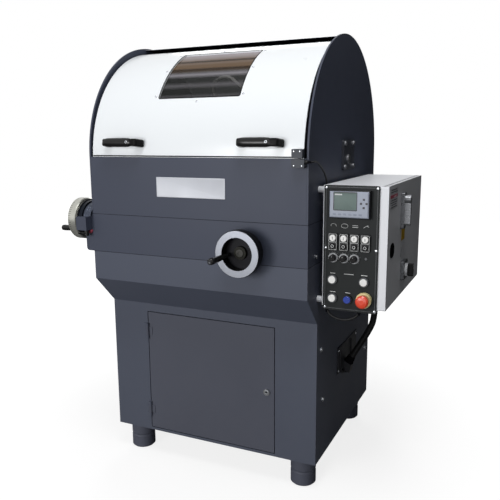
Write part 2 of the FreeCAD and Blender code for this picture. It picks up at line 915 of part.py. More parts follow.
def grinding_way(side, clearance, start, length):
    """One dovetail along Y for the grinding slide."""
    middle = f"(infeed_across + {side} * grinding_way_pitch / 2)"
    # A pad on the XZ plane grows to the front, so its place is at the back end
    return prism("XZ_Plane", way_outline(middle, clearance), length, ("0", f"{start} + ({length})", "0"))


def bed_casting():
    """Trough with two pairs of dovetail ways, screw bearings and the side bracket."""
    outer = block(symmetric("body_width"), ("-body_front", "body_back"), (BED_LOW, BED_HIGH))
    inner = block(
        symmetric("body_width - 2 * bed_wall"),
        ("bed_wall - body_front", "body_back - bed_wall"),
        (BED_INSIDE, f"{BED_HIGH} + overrun"),
    )
    trough = cut(outer, rounded(inner, "bed_round", runs_along(Z_AXIS)))
    pieces = [trough]
    for side in (-1, 1):
        left = f"bed_wall - {SIDE}"
        pieces.append(work_way(side, "0", left, f"{SIDE} - bed_wall + work_way_end"))
        back = "body_front + body_back - 2 * bed_wall"
        pieces.append(grinding_way(side, "0", "bed_wall - body_front", back))
    bracket = block(
        (f"-{SIDE} - bracket_reach", f"bed_wall - {SIDE}"),
        ("-body_front", "bracket_length - body_front"),
        (BED_LOW, BED_HIGH),
    )
    pieces.append(rounded(bracket, "bracket_round", runs_along(Y_AXIS)))
    pieces.append(rod("boss_radius", "boss_length", ("infeed_across", "-body_front - boss_length", INFEED_Z), ALONG_Y))
    clamp_z = (CLAMP_LOW, f"{CLAMP_LOW} + clamp_height")
    pieces.append(block((CLAMP_LEFT, CLAMP_RIGHT), (CLAMP_FRONT, CLAMP_BACK), clamp_z))
    root_x = (f"{CLAMP_RIGHT} - clamp_root", CLAMP_RIGHT)
    pieces.append(block(root_x, (CLAMP_FRONT, "bed_wall - body_front"), clamp_z))
    lug_z = (f"{CROSS_Z} - lug_rise", BED_HIGH)
    lug_y = ("bed_wall - body_front", f"{CROSS_Y} + lug_width / 2")
    pieces.append(block(("cross_reach - lug_wall", "cross_reach"), lug_y, lug_z))
    pieces.append(
        block(
            centred("infeed_across", "lug_width"),
            ("infeed_reach - lug_wall", "infeed_reach"),
            (BED_LOW, f"{INFEED_Z} + lug_rise"),
        )
    )
    bores = [
        rod(
            "screw_radius + slip",
            f"{SIDE} + bracket_reach + cross_reach + 2 * overrun",
            (f"-{SIDE} - bracket_reach - overrun", CROSS_Y, CROSS_Z),
            ALONG_X,
        ),
        rod(
            "screw_radius + slip",
            "boss_length + body_front + infeed_reach + 2 * overrun",
            ("infeed_across", "-body_front - boss_length - overrun", INFEED_Z),
            ALONG_Y,
        ),
        rod("drain_radius", "bed_floor + 2 * overrun", ("0", "drain_back", f"{BED_LOW} - overrun")),
    ]
    sub_part("bed_casting", cut(join(*pieces), *bores))


# Feeds

def handwheel(label, place, turn, angle):
    """Dished wheel with a dial drum behind it, a hub and the stud of its grip."""
    rim_front = f"({RIM_BACK} + rim_depth)"
    outline = [
        ("journal_radius + snug", "0"),
        ("drum_radius", "0"),
        ("drum_radius", "drum_length"),
        ("drum_radius + drum_ring", "drum_length"),
        ("drum_radius + drum_ring", "drum_length + drum_ring_length"),
        ("drum_radius", "drum_length + drum_ring_length"),
        ("drum_radius", RIM_BACK),
        ("wheel_radius - rim_chamfer", RIM_BACK),
        ("wheel_radius", f"{RIM_BACK} + rim_chamfer"),
        ("wheel_radius", f"{rim_front} - rim_chamfer / 2"),
        ("wheel_radius - rim_chamfer / 2", rim_front),
        ("wheel_bore", rim_front),
        ("wheel_bore - rim_chamfer / 2", DISH),
        ("hub_radius", DISH),
        ("hub_radius - rim_chamfer / 2", f"{DISH} + hub_rise"),
        ("journal_radius + snug", f"{DISH} + hub_rise"),
    ]
    wheel = lathe(outline)
    stud_place = (f"grip_orbit * cos({angle})", f"grip_orbit * sin({angle})", f"{DISH} - rim_chamfer")
    stud = rod("grip_stud", "grip_stud_length", stud_place)
    sub_part(label, put(join(wheel, stud), place, turn))


def grip(label, place, turn, angle, length):
    """Revolving grip on the wheel's stud, from a narrow neck to a thick rounded end."""
    outline = [
        ("grip_stud + slip", "0"),
        ("grip_neck", "0"),
        ("grip_neck", "grip_shoulder"),
        ("grip_neck + (grip_radius - grip_neck) * 0.75", f"{length} * 0.6"),
        ("grip_radius", f"{length} - grip_nose"),
        ("grip_radius - grip_nose / 12", f"{length} - grip_nose / 4"),
        ("grip_radius - grip_nose / 3", length),
        ("0", length),
        ("0", "grip_stud_length"),
        ("grip_stud + slip", "grip_stud_length"),
    ]
    sleeve = lathe(outline, (f"grip_orbit * cos({angle})", f"grip_orbit * sin({angle})", f"{DISH} + grip_lift"))
    sub_part(label, put(group(sleeve), place, turn))


def feed_screw(label, place, turn, reach):
    """Screw with a thin journal in the wheel's hub and a plain end in the far bearing."""
    inside = f"{DISH} + hub_rise"
    outline = [
        ("0", "0"),
        ("journal_radius", "0"),
        ("journal_radius", inside),
        ("screw_radius", inside),
        ("screw_radius", f"{inside} + {reach}"),
        ("0", f"{inside} + {reach}"),
    ]
    sub_part(label, lathe(outline, place, turn))


def feeds():
    """Both handwheels with their grips and screws."""
    front = ("infeed_across", FRONT_HUB_Y, INFEED_Z)
    handwheel("front_handwheel", front, TO_FRONT, "front_grip_angle")
    grip("front_grip", front, TO_FRONT, "front_grip_angle", "front_grip_length")
    screw_start = ("infeed_across", f"{FRONT_HUB_Y} - {DISH} - hub_rise", INFEED_Z)
    feed_screw("front_feed_screw", screw_start, ALONG_Y, f"(infeed_reach - {FRONT_HUB_Y})")
    left = (LEFT_HUB_X, CROSS_Y, CROSS_Z)
    handwheel("left_handwheel", left, TO_LEFT, "left_grip_angle")
    grip("left_grip", left, TO_LEFT, "left_grip_angle", "left_grip_length")
    screw_start = (f"{LEFT_HUB_X} - {DISH} - hub_rise", CROSS_Y, CROSS_Z)
    feed_screw("left_feed_screw", screw_start, ALONG_X, f"(cross_reach - {LEFT_HUB_X})")


def clamp_lever():
    """Lever that locks the cross feed's dial, hung under the clamp block."""
    x = f"({CLAMP_RIGHT} - lock_hub_inset)"
    y = f"({CLAMP_FRONT} + lock_hub_back)"
    low = f"({CLAMP_LOW} - slip - lock_hub_height)"
    middle = f"{low} + lock_hub_height / 2"
    hub = rod("lock_hub_radius", "lock_hub_height", (x, y, low))
    arm = rod("lock_arm_radius", "lock_arm_length", (x, y, middle), TO_LEFT)
    ball = document.addObject("Part::Sphere", "Ball")
    bind(ball, "Radius", "lock_ball_radius")
    # Its poles lie along the arm, so the joint is one whole circle
    put(ball, (f"{x} - lock_arm_length", y, middle), TO_LEFT)
    sub_part("clamp_lever", join(hub, arm, ball))


# Work side

def work_slide():
    """Saddle on its ways, with the nut of the cross screw at the front."""
    ahead = ("-work_saddle_ahead - work_saddle_length / 2", "-work_saddle_ahead + work_saddle_length / 2")
    saddle = block(centred("-work_offset", "work_saddle_width"), ahead, (SADDLE_LOW, SADDLE_TOP))
    saddle = rounded(saddle, "saddle_round", runs_along(Z_AXIS))
    nut = block(
        centred("-work_offset", "nut_width"),
        (f"{CROSS_Y} - nut_wall", f"{ahead[0]} + nut_wall"),
        (f"{CROSS_Z} - nut_wall", f"{CROSS_Z} + nut_wall"),
    )
    tools = []
    for side in (-1, 1):
        start = "-work_offset - work_saddle_width / 2 - overrun"
        tools.append(work_way(side, "slip", start, "work_saddle_width + 2 * overrun"))
    bore_start = ("-work_offset - nut_width / 2 - overrun", CROSS_Y, CROSS_Z)
    tools.append(rod("screw_radius + slip", "nut_width + 2 * overrun", bore_start, ALONG_X))
    sub_part("work_slide", cut(join(saddle, nut), *tools))


def work_head():
    """Headstock: a foot, a tapered column, the spindle barrel and its motor behind."""
    front = "-head_front"
    back = "(head_length - head_front)"
    foot = block(
        centred("-work_offset", "head_width + 2 * head_foot"),
        (front, back),
        (f"{SADDLE_TOP} + slip", f"{SADDLE_TOP} + slip + head_foot"),
    )
    outline = [
        ("-work_offset - head_width / 2 - head_foot / 2", f"{SADDLE_TOP} + slip + head_foot"),
        ("-work_offset + head_width / 2 + head_foot / 2", f"{SADDLE_TOP} + slip + head_foot"),
        ("-work_offset + head_width / 2", SPINDLE_Z),
        ("-work_offset - head_width / 2", SPINDLE_Z),
    ]
    column = prism("XZ_Plane", outline, "head_length", ("0", back, "0"))
    barrel = rod("head_radius", "head_length", ("-work_offset", front, SPINDLE_Z), ALONG_Y)
    motor = rod("head_motor_radius", "head_motor_length", ("-work_offset", back, SPINDLE_Z), ALONG_Y)
    bore_place = ("-work_offset", f"{front} - overrun", SPINDLE_Z)
    bore = rod("spindle_radius + slip", "spindle_depth + overrun + slip", bore_place, ALONG_Y)
    sub_part("work_head", cut(join(foot, column, barrel, motor), bore))


def work_spindle():
    """Spindle with a clamping flange and the arbor that takes the knife's bore."""
    face = "(spindle_depth + nose_gap + flange_wall)"
    outline = [
        ("0", "0"),
        ("spindle_radius", "0"),
        ("spindle_radius", "spindle_depth + nose_gap"),
        ("flange_radius", "spindle_depth + nose_gap"),
        ("flange_radius", f"{face} - arbor_chamfer"),
        ("flange_radius - arbor_chamfer", face),
        ("arbor_radius", face),
        ("arbor_radius", f"{face} + arbor_length - arbor_chamfer"),
        ("arbor_radius - arbor_chamfer", f"{face} + arbor_length"),
        ("0", f"{face} + arbor_length"),
    ]
    place = ("-work_offset", "spindle_depth - head_front", SPINDLE_Z)
    sub_part("work_spindle", lathe(outline, place, TO_FRONT))


# Grinding side

CUP_PLACE = ("cup_across", "-cup_ahead", SPINDLE_Z)


def tilted(thing):
    """Swing a piece made along Y from the cup's face onto the grinding axis."""
    return swing(group(thing), CUP_PLACE, Z_AXIS, "-cup_tilt")


def grinding_slide():
    """Saddle on its ways, with the nut below and the column that cradles the motor."""
    length = "grinding_saddle_length"
    along = centred("grinding_saddle_back", length)
    saddle = block(centred("infeed_across", "grinding_saddle_width"), along, (SADDLE_LOW, SADDLE_TOP))
    saddle = rounded(saddle, "saddle_round", runs_along(Z_AXIS))
    nut = block(
        centred("infeed_across", "2 * nut_wall"),
        centred("grinding_saddle_back", "2 * nut_width"),
        (f"{INFEED_Z} - nut_drop", SADDLE_TOP),
    )
    column = block(
        centred("column_across", "column_width"),
        centred("column_back", "column_length"),
        (SADDLE_LOW, SPINDLE_Z),
    )
    column = rounded(column, "saddle_round", runs_along(Z_AXIS))
    tools = []
    for side in (-1, 1):
        tools.append(grinding_way(side, "slip", f"{along[0]} - overrun", f"{length} + 2 * overrun"))
    bore_place = ("infeed_across", f"{along[0]} - overrun", INFEED_Z)
    tools.append(rod("screw_radius + slip", f"{length} + 2 * overrun", bore_place, ALONG_Y))
    whole = "motor_length + cup_depth + cowl_length + 2 * motor_gap"
    tools.append(tilted(rod("motor_radius + slip", whole, turn=ALONG_Y)))
    sub_part("grinding_slide", cut(join(saddle, nut, column), *tools))


def grinding_motor():
    """Finned motor with a nose for the spindle and a fan cowl behind."""
    start = "(cup_depth + motor_gap)"
    back = f"({start} + motor_length)"
    outline = [
        ("0", f"{start} - motor_nose_length"),
        ("motor_nose_radius", f"{start} - motor_nose_length"),
        ("motor_nose_radius", start),
        ("motor_radius", start),
    ]
    pitch = "(fin_wall * 2)"
    count = int(round((value("motor_length") - 2 * value("fin_wall")) / value(pitch))) // 2
    for number in range(1, count):
        low = f"{start} + {pitch} * 2 * {number}"
        outline.append(("motor_radius", low))
        outline.append(("motor_radius - fin_depth", low))
        outline.append(("motor_radius - fin_depth", f"{low} + {pitch}"))
        outline.append(("motor_radius", f"{low} + {pitch}"))
    outline += [
        ("motor_radius", back),
        ("cowl_radius", back),
        ("cowl_radius", f"{back} + cowl_length - rim_chamfer"),
        ("cowl_radius - rim_chamfer", f"{back} + cowl_length"),
        ("0", f"{back} + cowl_length"),
    ]
    body = lathe(outline, turn=ALONG_Y)
    bore = rod("grinding_shaft + slip", "grinding_shaft_depth + slip", ("0", "0", "0"), ALONG_Y)
    sub_part("grinding_motor", tilted(cut(body, bore)))


def grinding_spindle():
    """Motor shaft with the flange that the cup wheel seats on."""
    outline = [
        ("0", "cup_depth - cup_web - cup_flare"),
        ("grinding_shaft", "cup_depth - cup_web - cup_flare"),
        ("grinding_shaft", "cup_depth"),
        ("cup_hub", "cup_depth"),
        ("cup_hub", "cup_depth + (motor_gap - motor_nose_length) / 2"),
        ("grinding_shaft", "cup_depth + (motor_gap - motor_nose_length) / 2"),
        ("grinding_shaft", "grinding_shaft_depth"),
        ("0", "grinding_shaft_depth"),
    ]
    sub_part("grinding_spindle", tilted(lathe(outline, turn=ALONG_Y)))


def cup_wheel():
    """Flared cup wheel: a rim, a web and a bore."""
    outline = [
        ("cup_radius - cup_rim", "0"),
        ("cup_radius", "0"),
        ("cup_radius", "cup_rim"),
        ("cup_radius - cup_flare", "cup_depth"),
        ("grinding_shaft + snug", "cup_depth"),
        ("grinding_shaft + snug", "cup_depth - cup_web"),
        ("cup_radius - cup_flare - cup_rim", "cup_depth - cup_web"),
    ]
    sub_part("cup_wheel", tilted(lathe(outline, turn=ALONG_Y)))


def coolant_pipe():
    """Bent pipe from the grinding slide over the cup wheel, with its foot and nozzle."""
    foot = (
        "infeed_across - grinding_saddle_width / 2 + pipe_inset",
        "grinding_saddle_back - grinding_saddle_length / 2 + pipe_inset",
        f"{SADDLE_TOP} + slip",
    )
    points = route(foot, ("pipe_reach", "pipe_back", "pipe_height"), PIPE_SHARES)
    tube = swept(points, value("pipe_radius"))
    way_out = points[-1] - points[-2]
    way_out.normalize()
    nozzle = Part.makeCone(
        value("pipe_radius"), value("nozzle_radius"), value("nozzle_length"), points[-1], way_out
    )
    flange = Part.makeCylinder(value("pipe_foot_radius"), value("pipe_foot_height"), points[0])
    sub_part("coolant_pipe", free_shape(flange.fuse([tube, nozzle]).removeSplitter()))


# Coolant in the pedestal

def coolant_tank():
    """Closed tank with an overhanging lid, on the pedestal's floor."""
    low = "(foot_height + sheet_wall)"
    back = "(pedestal_reach - sheet_wall - tank_back)"
    body = block(symmetric("tank_width"), (f"{back} - tank_length", back), (low, f"{low} + tank_height"))
    body = rounded(body, "bed_round", runs_along(Z_AXIS))
    lid = block(
        symmetric("tank_width + 2 * tank_lip"),
        (f"{back} - tank_length - tank_lip", f"{back} + tank_lip"),
        (f"{low} + tank_height", f"{low} + tank_height + tank_lid"),
    )
    whole = join(body, rounded(lid, "bed_round", runs_along(Z_AXIS)))
    sub_part("coolant_tank", group(whole, coolant_pump()))


def coolant_pump():
    """Immersion pump standing on the tank's lid."""
    low = "(foot_height + sheet_wall + tank_height + tank_lid)"
    outline = [
        ("0", "0"),
        ("pump_flange", "0"),
        ("pump_flange", "pump_flange_wall"),
        ("pump_radius", "pump_flange_wall"),
        ("pump_radius", "pump_flange_wall + pump_height"),
        ("pump_radius + tank_lid", "pump_flange_wall + pump_height"),
        ("pump_radius + tank_lid", "pump_flange_wall + pump_height + pump_cap - bed_round"),
        ("pump_radius - tank_lid", "pump_flange_wall + pump_height + pump_cap"),
        ("0", "pump_flange_wall + pump_height + pump_cap"),
    ]
    place = ("tank_width / 4", "pedestal_reach - sheet_wall - tank_back - tank_length / 2", low)
    return lathe(outline, place)


# Upper housing

def front_panel():
    """Front sheet of the chamber with a stiffening flange along its top."""
    sheet_part = block(
        symmetric(f"2 * ({SIDE_INSIDE} - slip)"),
        ("-body_front", "panel_wall - body_front"),
        (BED_HIGH, HOOD_LOW),
    )
    flange = block(
        symmetric(f"2 * ({SIDE_INSIDE} - slip)"),
        ("-body_front", "panel_flange - body_front"),
        (f"{HOOD_LOW} - panel_wall", HOOD_LOW),
    )
    sub_part("front_panel", join(sheet_part, flange))


def side_panel(label, left):
    """Side plate that ends above in a half disc, bored for the hood's pivot pin."""
    plate = block((left, f"{left} + plate_wall"), ("-body_front", "body_back"), (BED_HIGH, HOOD_LOW))
    dome = sector(DOME_RADIUS, "0", "180", "plate_wall", (left, DOME_Y, HOOD_LOW))
    bore = rod("pin_radius + slip", "plate_wall + 2 * overrun", (f"{left} - overrun", PIVOT_Y, PIVOT_Z), ALONG_X)
    sub_part(label, cut(join(plate, dome), bore))


def rear_shell():
    """Rear sheet: straight up the back, then round to just past the top."""
    width = f"2 * ({SIDE_INSIDE} - slip)"
    radius = f"({DOME_RADIUS} - shell_inset)"
    place = (f"slip - {SIDE_INSIDE}", DOME_Y, HOOD_LOW)
    arc = arc_shell(radius, "shell_wall", "shell_angle", "180", width, place)
    wall = block(
        symmetric(width),
        (f"{DOME_Y} + {radius} - shell_wall", f"{DOME_Y} + {radius}"),
        (BED_HIGH, HOOD_LOW),
    )
    sub_part("rear_shell", join(arc, wall))


def pivot_flanges():
    """Bearing plates of the hood's pins, each with four bolt heads."""
    made = []
    bolt_across = "(pivot_plate_length / 2 - 1.5 * pivot_bolt_radius)"
    bolt_up = "(pivot_plate_height / 2 - 1.5 * pivot_bolt_radius)"
    for side in (-1, 1):
        left = SIDE if side > 0 else f"-{SIDE} - pivot_plate_wall"
        plate = block(
            (left, f"{left} + pivot_plate_wall"),
            centred(DOME_Y, "pivot_plate_length"),
            centred(HOOD_LOW, "pivot_plate_height"),
        )
        pieces = [rounded(plate, "pivot_bolt_radius", runs_along(X_AXIS))]
        head = f"{SIDE} + pivot_plate_wall" if side > 0 else f"-{SIDE} - pivot_plate_wall - pivot_bolt_head"
        for across in (f"-{bolt_across}", bolt_across):
            for up in (f"-{bolt_up}", bolt_up):
                place = (head, f"{DOME_Y} + {across}", f"{HOOD_LOW} + {up}")
                pieces.append(rod("pivot_bolt_radius", "pivot_bolt_head", place, ALONG_X))
        bore_place = (f"{left} - overrun", PIVOT_Y, PIVOT_Z)
        bore = rod("pin_radius + slip", "pivot_plate_wall + 2 * overrun", bore_place, ALONG_X)
        made.append(cut(join(*pieces), bore))
    sub_part("pivot_flanges", group(*made))


# Hood

PIVOT = ("0", PIVOT_Y, PIVOT_Z)


def hood_cover():
    """Curved front cover with its window opening."""
    place = (f"-{COVER_WIDTH} / 2", PIVOT_Y, PIVOT_Z)
    skin = arc_shell("cover_radius", "cover_wall", "cover_low", "cover_high", COVER_WIDTH, place)
    hole_place = ("window_shift - window_width / 2", PIVOT_Y, PIVOT_Z)
    hole = arc_shell(
        "(cover_radius + overrun)", "(cover_wall + 2 * overrun)", "window_low", "window_high", "window_width", hole_place
    )
    sub_part("hood_cover", cut(skin, hole))


def window_pane():
    """Curved pane behind the window opening."""
    place = ("window_shift - window_width / 2 - pane_overlap", PIVOT_Y, PIVOT_Z)
    pane = arc_shell(
        "(cover_radius - cover_wall - snug)",
        "pane_wall",
        "window_low - pane_overlap_angle",
        "window_high + pane_overlap_angle",
        "window_width + 2 * pane_overlap",
        place,
    )
    sub_part("window_pane", pane)


def hood_pivots():
    """End plates of the hood, each a lightened sector with a hub and a pivot pin."""
    inner = "(cover_radius - cover_wall - slip)"
    made = []
    for side in (-1, 1):
        left = f"{COVER_WIDTH} / 2 - arm_inset - arm_wall" if side > 0 else f"arm_inset - {COVER_WIDTH} / 2"
        plate = sector(inner, "cover_low + arm_lift", "cover_high", "arm_wall", (left, PIVOT_Y, PIVOT_Z))
        hub = rod("arm_hub", "arm_wall", (left, PIVOT_Y, PIVOT_Z), ALONG_X)
        relief = arc_shell(
            f"({inner} - arm_border)",
            f"({inner} - 2 * arm_border - arm_hub)",
            "cover_low + arm_border_angle",
            "cover_high - arm_border_angle",
            "arm_wall + 2 * overrun",
            (f"{left} - overrun", PIVOT_Y, PIVOT_Z),
        )
        length = f"({SIDE} + pivot_plate_wall + pin_head - {COVER_WIDTH} / 2 + arm_inset + arm_wall)"
        start = left if side > 0 else f"{left} + arm_wall - {length}"
        pin = rod("pin_radius", length, (start, PIVOT_Y, PIVOT_Z), ALONG_X)
        made.append(join(cut(join(plate, hub), relief), pin))
    sub_part("hood_pivots", group(*made))


def hood_handles():
    """Two bridge handles, each a bar on two splayed feet, rounded all over."""
    base = "(cover_radius + slip)"
    outer = f"({base} + handle_height)"
    inner = f"({outer} - handle_bar)"
    half = "(handle_length / 2)"
    outline = [
        (f"-{half}", f"-{base}"),
        (f"-{half} + handle_splay", f"-{outer}"),
        (f"{half} - handle_splay", f"-{outer}"),
        (half, f"-{base}"),
        (f"{half} - handle_foot", f"-{base}"),
        (f"{half} - handle_foot - handle_splay / 2", f"-{inner}"),
        (f"-{half} + handle_foot + handle_splay / 2", f"-{inner}"),
        (f"-{half} + handle_foot", f"-{base}"),
    ]
    made = []
    for side in (-1, 1):
        place = (f"{side} * handle_pitch / 2", "0", "-handle_depth / 2")
        bridge = prism("XY_Plane", outline, "handle_depth", place)
        bridge = rounded(bridge, "handle_round", runs_along(Z_AXIS))
        made.append(rounded(bridge, "handle_edge", lies_across(Z_AXIS), every=True))
    sub_part("hood_handles", swing(group(*made), PIVOT, X_AXIS, "-handle_angle"))


def interlock_switch():
    """Fixed half of the hood's interlock, on the front panel, with its cable outlet."""
    high = f"{HOOD_LOW} - switch_gap"
    body = block(
        centred(SWITCH_X, "switch_width"),
        ("-body_front - switch_depth", "-body_front"),
        (f"{high} - switch_height", high),
    )
    sub_part("interlock_switch", rounded(body, "switch_round", runs_along(Y_AXIS)))


def interlock_actuator():
    """Moving half of the interlock, on the edge of the cover."""
    low = f"{HOOD_LOW} + actuator_rise"
    body = block(
        centred(f"{SWITCH_X} - arm_inset / 2", "switch_width - arm_inset"),
        ("-body_front - switch_depth", "-body_front - slip"),
        (low, f"{low} + actuator_height"),
    )
    sub_part("interlock_actuator", rounded(body, "switch_round", runs_along(Y_AXIS)))


# Control cabinet



def cabinet_knuckle(side, low, high):
    """Hinge half at the back of the cabinet: side -1 sits on the box, 1 on the door."""
    beside = (f"{CABINET_RIGHT} - hinge_leaf", f"{CABINET_RIGHT} - hinge_leaf_wall")
    if side > 0:
        beside = (f"{CABINET_RIGHT} + hinge_leaf_wall", f"{CABINET_FACE} - hinge_leaf_wall")
    reach = (beside[0], CABINET_HINGE_X) if side < 0 else (CABINET_HINGE_X, beside[1])
    bridge = block(
        reach,
        (f"{CABINET_HINGE_Y} - hinge_leaf_wall", f"{CABINET_HINGE_Y} + hinge_leaf_wall"),
        (low, high),
    )
    stand = block(beside, (f"{CABINET_BACK} - cabinet_wall", f"{CABINET_HINGE_Y} + hinge_leaf_wall"), (low, high))
    return join(bridge, stand)


def control_cabinet():
    """Sheet steel box, open to the right, on four studs, with glands and fixed hinge halves."""
    along = ("-cabinet_front", CABINET_BACK)
    up = (CABINET_LOW, CABINET_TOP)
    outer = block((CABINET_LEFT, CABINET_RIGHT), along, up)
    inner = block(
        (f"{CABINET_LEFT} + cabinet_wall", f"{CABINET_RIGHT} + overrun"),
        ("cabinet_wall - cabinet_front", f"{CABINET_BACK} - cabinet_wall"),
        (f"{CABINET_LOW} + cabinet_wall", f"{CABINET_TOP} - cabinet_wall"),
    )
    pieces = [cut(outer, inner)]
    for y in ("stud_inset - cabinet_front", f"{CABINET_BACK} - stud_inset"):
        for z in (f"{CABINET_LOW} + stud_inset", f"{CABINET_TOP} - stud_inset"):
            pieces.append(rod("stud_radius", "cabinet_gap", (SIDE, y, z), ALONG_X))
    for share in HINGE_SHARES:
        low, high = hinge_levels(CABINET_LOW, "cabinet_height", share, "cabinet_knuckle")
        ends = ((f"{low} - cabinet_knuckle / 2", f"{low} - slip"), (f"{high} + slip", f"{high} + cabinet_knuckle / 2"))
        for end_low, end_high in ends:
            leaf = cabinet_knuckle(-1, end_low, end_high)
            pieces.append(hinge_knuckle((CABINET_HINGE_X, CABINET_HINGE_Y), end_low, end_high, leaf, True))
        pin_place = (CABINET_HINGE_X, CABINET_HINGE_Y, f"{low} - cabinet_knuckle / 2")
        pieces.append(rod("hinge_pin", "2 * cabinet_knuckle", pin_place))
    pieces.append(rod("gland_radius", "gland_height", CONDUIT_END))
    for x in (LOOP_LEFT, LOOP_RIGHT):
        pieces.append(rod("small_gland_radius", "small_gland_height", (x, LOOP_Y, f"{CABINET_LOW} - small_gland_height")))
    gland = block(
        (f"{CABINET_LEFT} - 2 * small_gland_radius", CABINET_LEFT),
        centred(INTERLOCK_Y, "2 * small_gland_radius"),
        centred(INTERLOCK_Z, "2 * small_gland_height"),
    )
    pieces.append(gland)
    sub_part("control_cabinet", join(*pieces))


def cabinet_door():
    """Door pan of the cabinet with its hinge halves and the bores of its fittings."""
    pan = block((f"{CABINET_RIGHT} + slip", CABINET_FACE), ("-cabinet_front", CABINET_BACK), (CABINET_LOW, CABINET_TOP))
    pan = rounded(pan, "cabinet_door_round", runs_along(X_AXIS))
    inside = block(
        (CABINET_RIGHT, f"{CABINET_FACE} - cabinet_door_wall"),
        ("cabinet_door_wall - cabinet_front", f"{CABINET_BACK} - cabinet_door_wall"),
        (f"{CABINET_LOW} + cabinet_door_wall", f"{CABINET_TOP} - cabinet_door_wall"),
    )
    halves = []
    for share in HINGE_SHARES:
        low, high = hinge_levels(CABINET_LOW, "cabinet_height", share, "cabinet_knuckle")
        leaf = cabinet_knuckle(1, low, high)
        halves.append(hinge_knuckle((CABINET_HINGE_X, CABINET_HINGE_Y), low, high, leaf, False))
    bores = []
    for radius, y, z in (("lever_stem", LEVER_Y, LEVER_Z), ("rotary_stem", ROTARY_Y, ROTARY_Z)):
        bores.append(
            rod(f"{radius} + slip", "cabinet_door_wall + 2 * overrun", (f"{CABINET_FACE} - cabinet_door_wall - overrun", y, z), ALONG_X)
        )
    sub_part("cabinet_door", cut(join(cut(pan, inside), *halves), *bores))


def door_fittings():
    """Handle plate and main switch plate on the cabinet door."""
    plate = block(
        (CABINET_FACE, FITTING_FACE),
        centred(LEVER_Y, "escutcheon_width"),
        (f"{ESCUTCHEON_TOP} - escutcheon_height", ESCUTCHEON_TOP),
    )
    plate = rounded(plate, "fitting_round", runs_along(X_AXIS))
    base = block(
        (CABINET_FACE, f"{CABINET_FACE} + isolator_wall"),
        centred(ROTARY_Y, "isolator_size"),
        centred(ROTARY_Z, "isolator_size"),
    )
    base = rounded(base, "fitting_round", runs_along(X_AXIS))
    bores = []
    for radius, y, z in (("lever_stem", LEVER_Y, LEVER_Z), ("rotary_stem", ROTARY_Y, ROTARY_Z)):
        place = (f"{CABINET_FACE} - overrun", y, z)
        bores.append(rod(f"{radius} + slip", "escutcheon_wall + isolator_wall + 2 * overrun", place, ALONG_X))
    sub_part("door_fittings", group(cut(plate, bores[0]), cut(base, bores[1])))


def door_handle():
    """Lever handle of the cabinet door: hub, bar and the stem through the plate."""
    start = f"({FITTING_FACE} + slip)"
    hub = rod("lever_hub", "lever_wall", (start, LEVER_Y, LEVER_Z), ALONG_X)
    bar = block(
        (start, f"{start} + lever_wall"),
        centred(LEVER_Y, "lever_width"),
        (f"{LEVER_Z} - lever_length", LEVER_Z),
    )
    bar = rounded(bar, "lever_width / 3", runs_along(X_AXIS))
    length = "(escutcheon_wall + cabinet_door_wall + lever_stem_length)"
    stem = rod("lever_stem", f"{length} + slip", (f"{start} - {length} - slip", LEVER_Y, LEVER_Z), ALONG_X)
    sub_part("door_handle", join(hub, bar, stem))


def main_switch():
    """Rotary grip of the main switch."""
    start = f"({CABINET_FACE} + isolator_wall + slip)"
    disc = rod("rotary_radius", "rotary_wall", (start, ROTARY_Y, ROTARY_Z), ALONG_X)
    grip_bar = block(
        (start, f"{start} + rotary_wall + rotary_grip_wall"),
        centred(ROTARY_Y, "rotary_grip"),
        centred(ROTARY_Z, "2 * rotary_radius"),
    )
    grip_bar = rounded(grip_bar, "rotary_grip / 3", runs_along(X_AXIS))
    length = "(isolator_wall + cabinet_door_wall + lever_stem_length)"
    stem = rod("rotary_stem", f"{length} + slip", (f"{start} - {length} - slip", ROTARY_Y, ROTARY_Z), ALONG_X)
    sub_part("main_switch", join(disc, grip_bar, stem))


# Rows of devices on the back plate, as shares of its height, and their sizes as shares of it:
# (row, height, depth, count, first place along, pitch along, width along)
DEVICE_ROW_SHARES = (
    (0.82, 0.24, 0.20, 8, 0.06, 0.055, 0.046),
    (0.50, 0.24, 0.26, 4, 0.06, 0.110, 0.090),
    (0.50, 0.40, 0.36, 1, 0.60, 0.300, 0.280),
    (0.16, 0.14, 0.16, 12, 0.06, 0.040, 0.034),
    (0.16, 0.24, 0.30, 1, 0.66, 0.200, 0.180),
)


def switchgear():
    """Back plate of the cabinet with its rails, breakers, contactors, drive and terminals."""
    left = f"({CABINET_LEFT} + cabinet_wall + backplate_gap)"
    front = "(cabinet_wall + backplate_inset - cabinet_front)"
    length = "(cabinet_length - 2 * cabinet_wall - 2 * backplate_inset)"
    low = f"({CABINET_LOW} + cabinet_wall + backplate_inset)"
    height = "(cabinet_height - 2 * cabinet_wall - 2 * backplate_inset)"
    face = f"({left} + backplate_wall)"
    pieces = [block((left, face), (front, f"{front} + {length}"), (low, f"{low} + {height}"))]
    for stud_y in (front, f"{front} + {length} - 2 * stud_radius"):
        for stud_z in (low, f"{low} + {height} - 2 * stud_radius"):
            spot = (f"{left} - backplate_gap", f"{stud_y} + stud_radius", f"{stud_z} + stud_radius")
            pieces.append(rod("stud_radius", "backplate_gap", spot, ALONG_X))
    for row in sorted({row[0] for row in DEVICE_ROW_SHARES}):
        rail_z = centred(f"{low} + {height} * {row}", "rail_width")
        rail_y = (f"{front} + stud_radius", f"{front} + {length} - stud_radius")
        pieces.append(block((face, f"{face} + rail_depth"), rail_y, rail_z))
    for row, tall, deep, count, first, pitch, wide in DEVICE_ROW_SHARES:
        for number in range(count):
            start = f"{front} + {length} * ({first} + {pitch} * {number})"
            across = (start, f"{start} + {length} * {wide}")
            reach = (face, f"{face} + rail_depth + {height} * {deep}")
            pieces.append(block(reach, across, centred(f"{low} + {height} * {row}", f"{height} * {tall}")))
    sub_part("switchgear", join(*pieces))


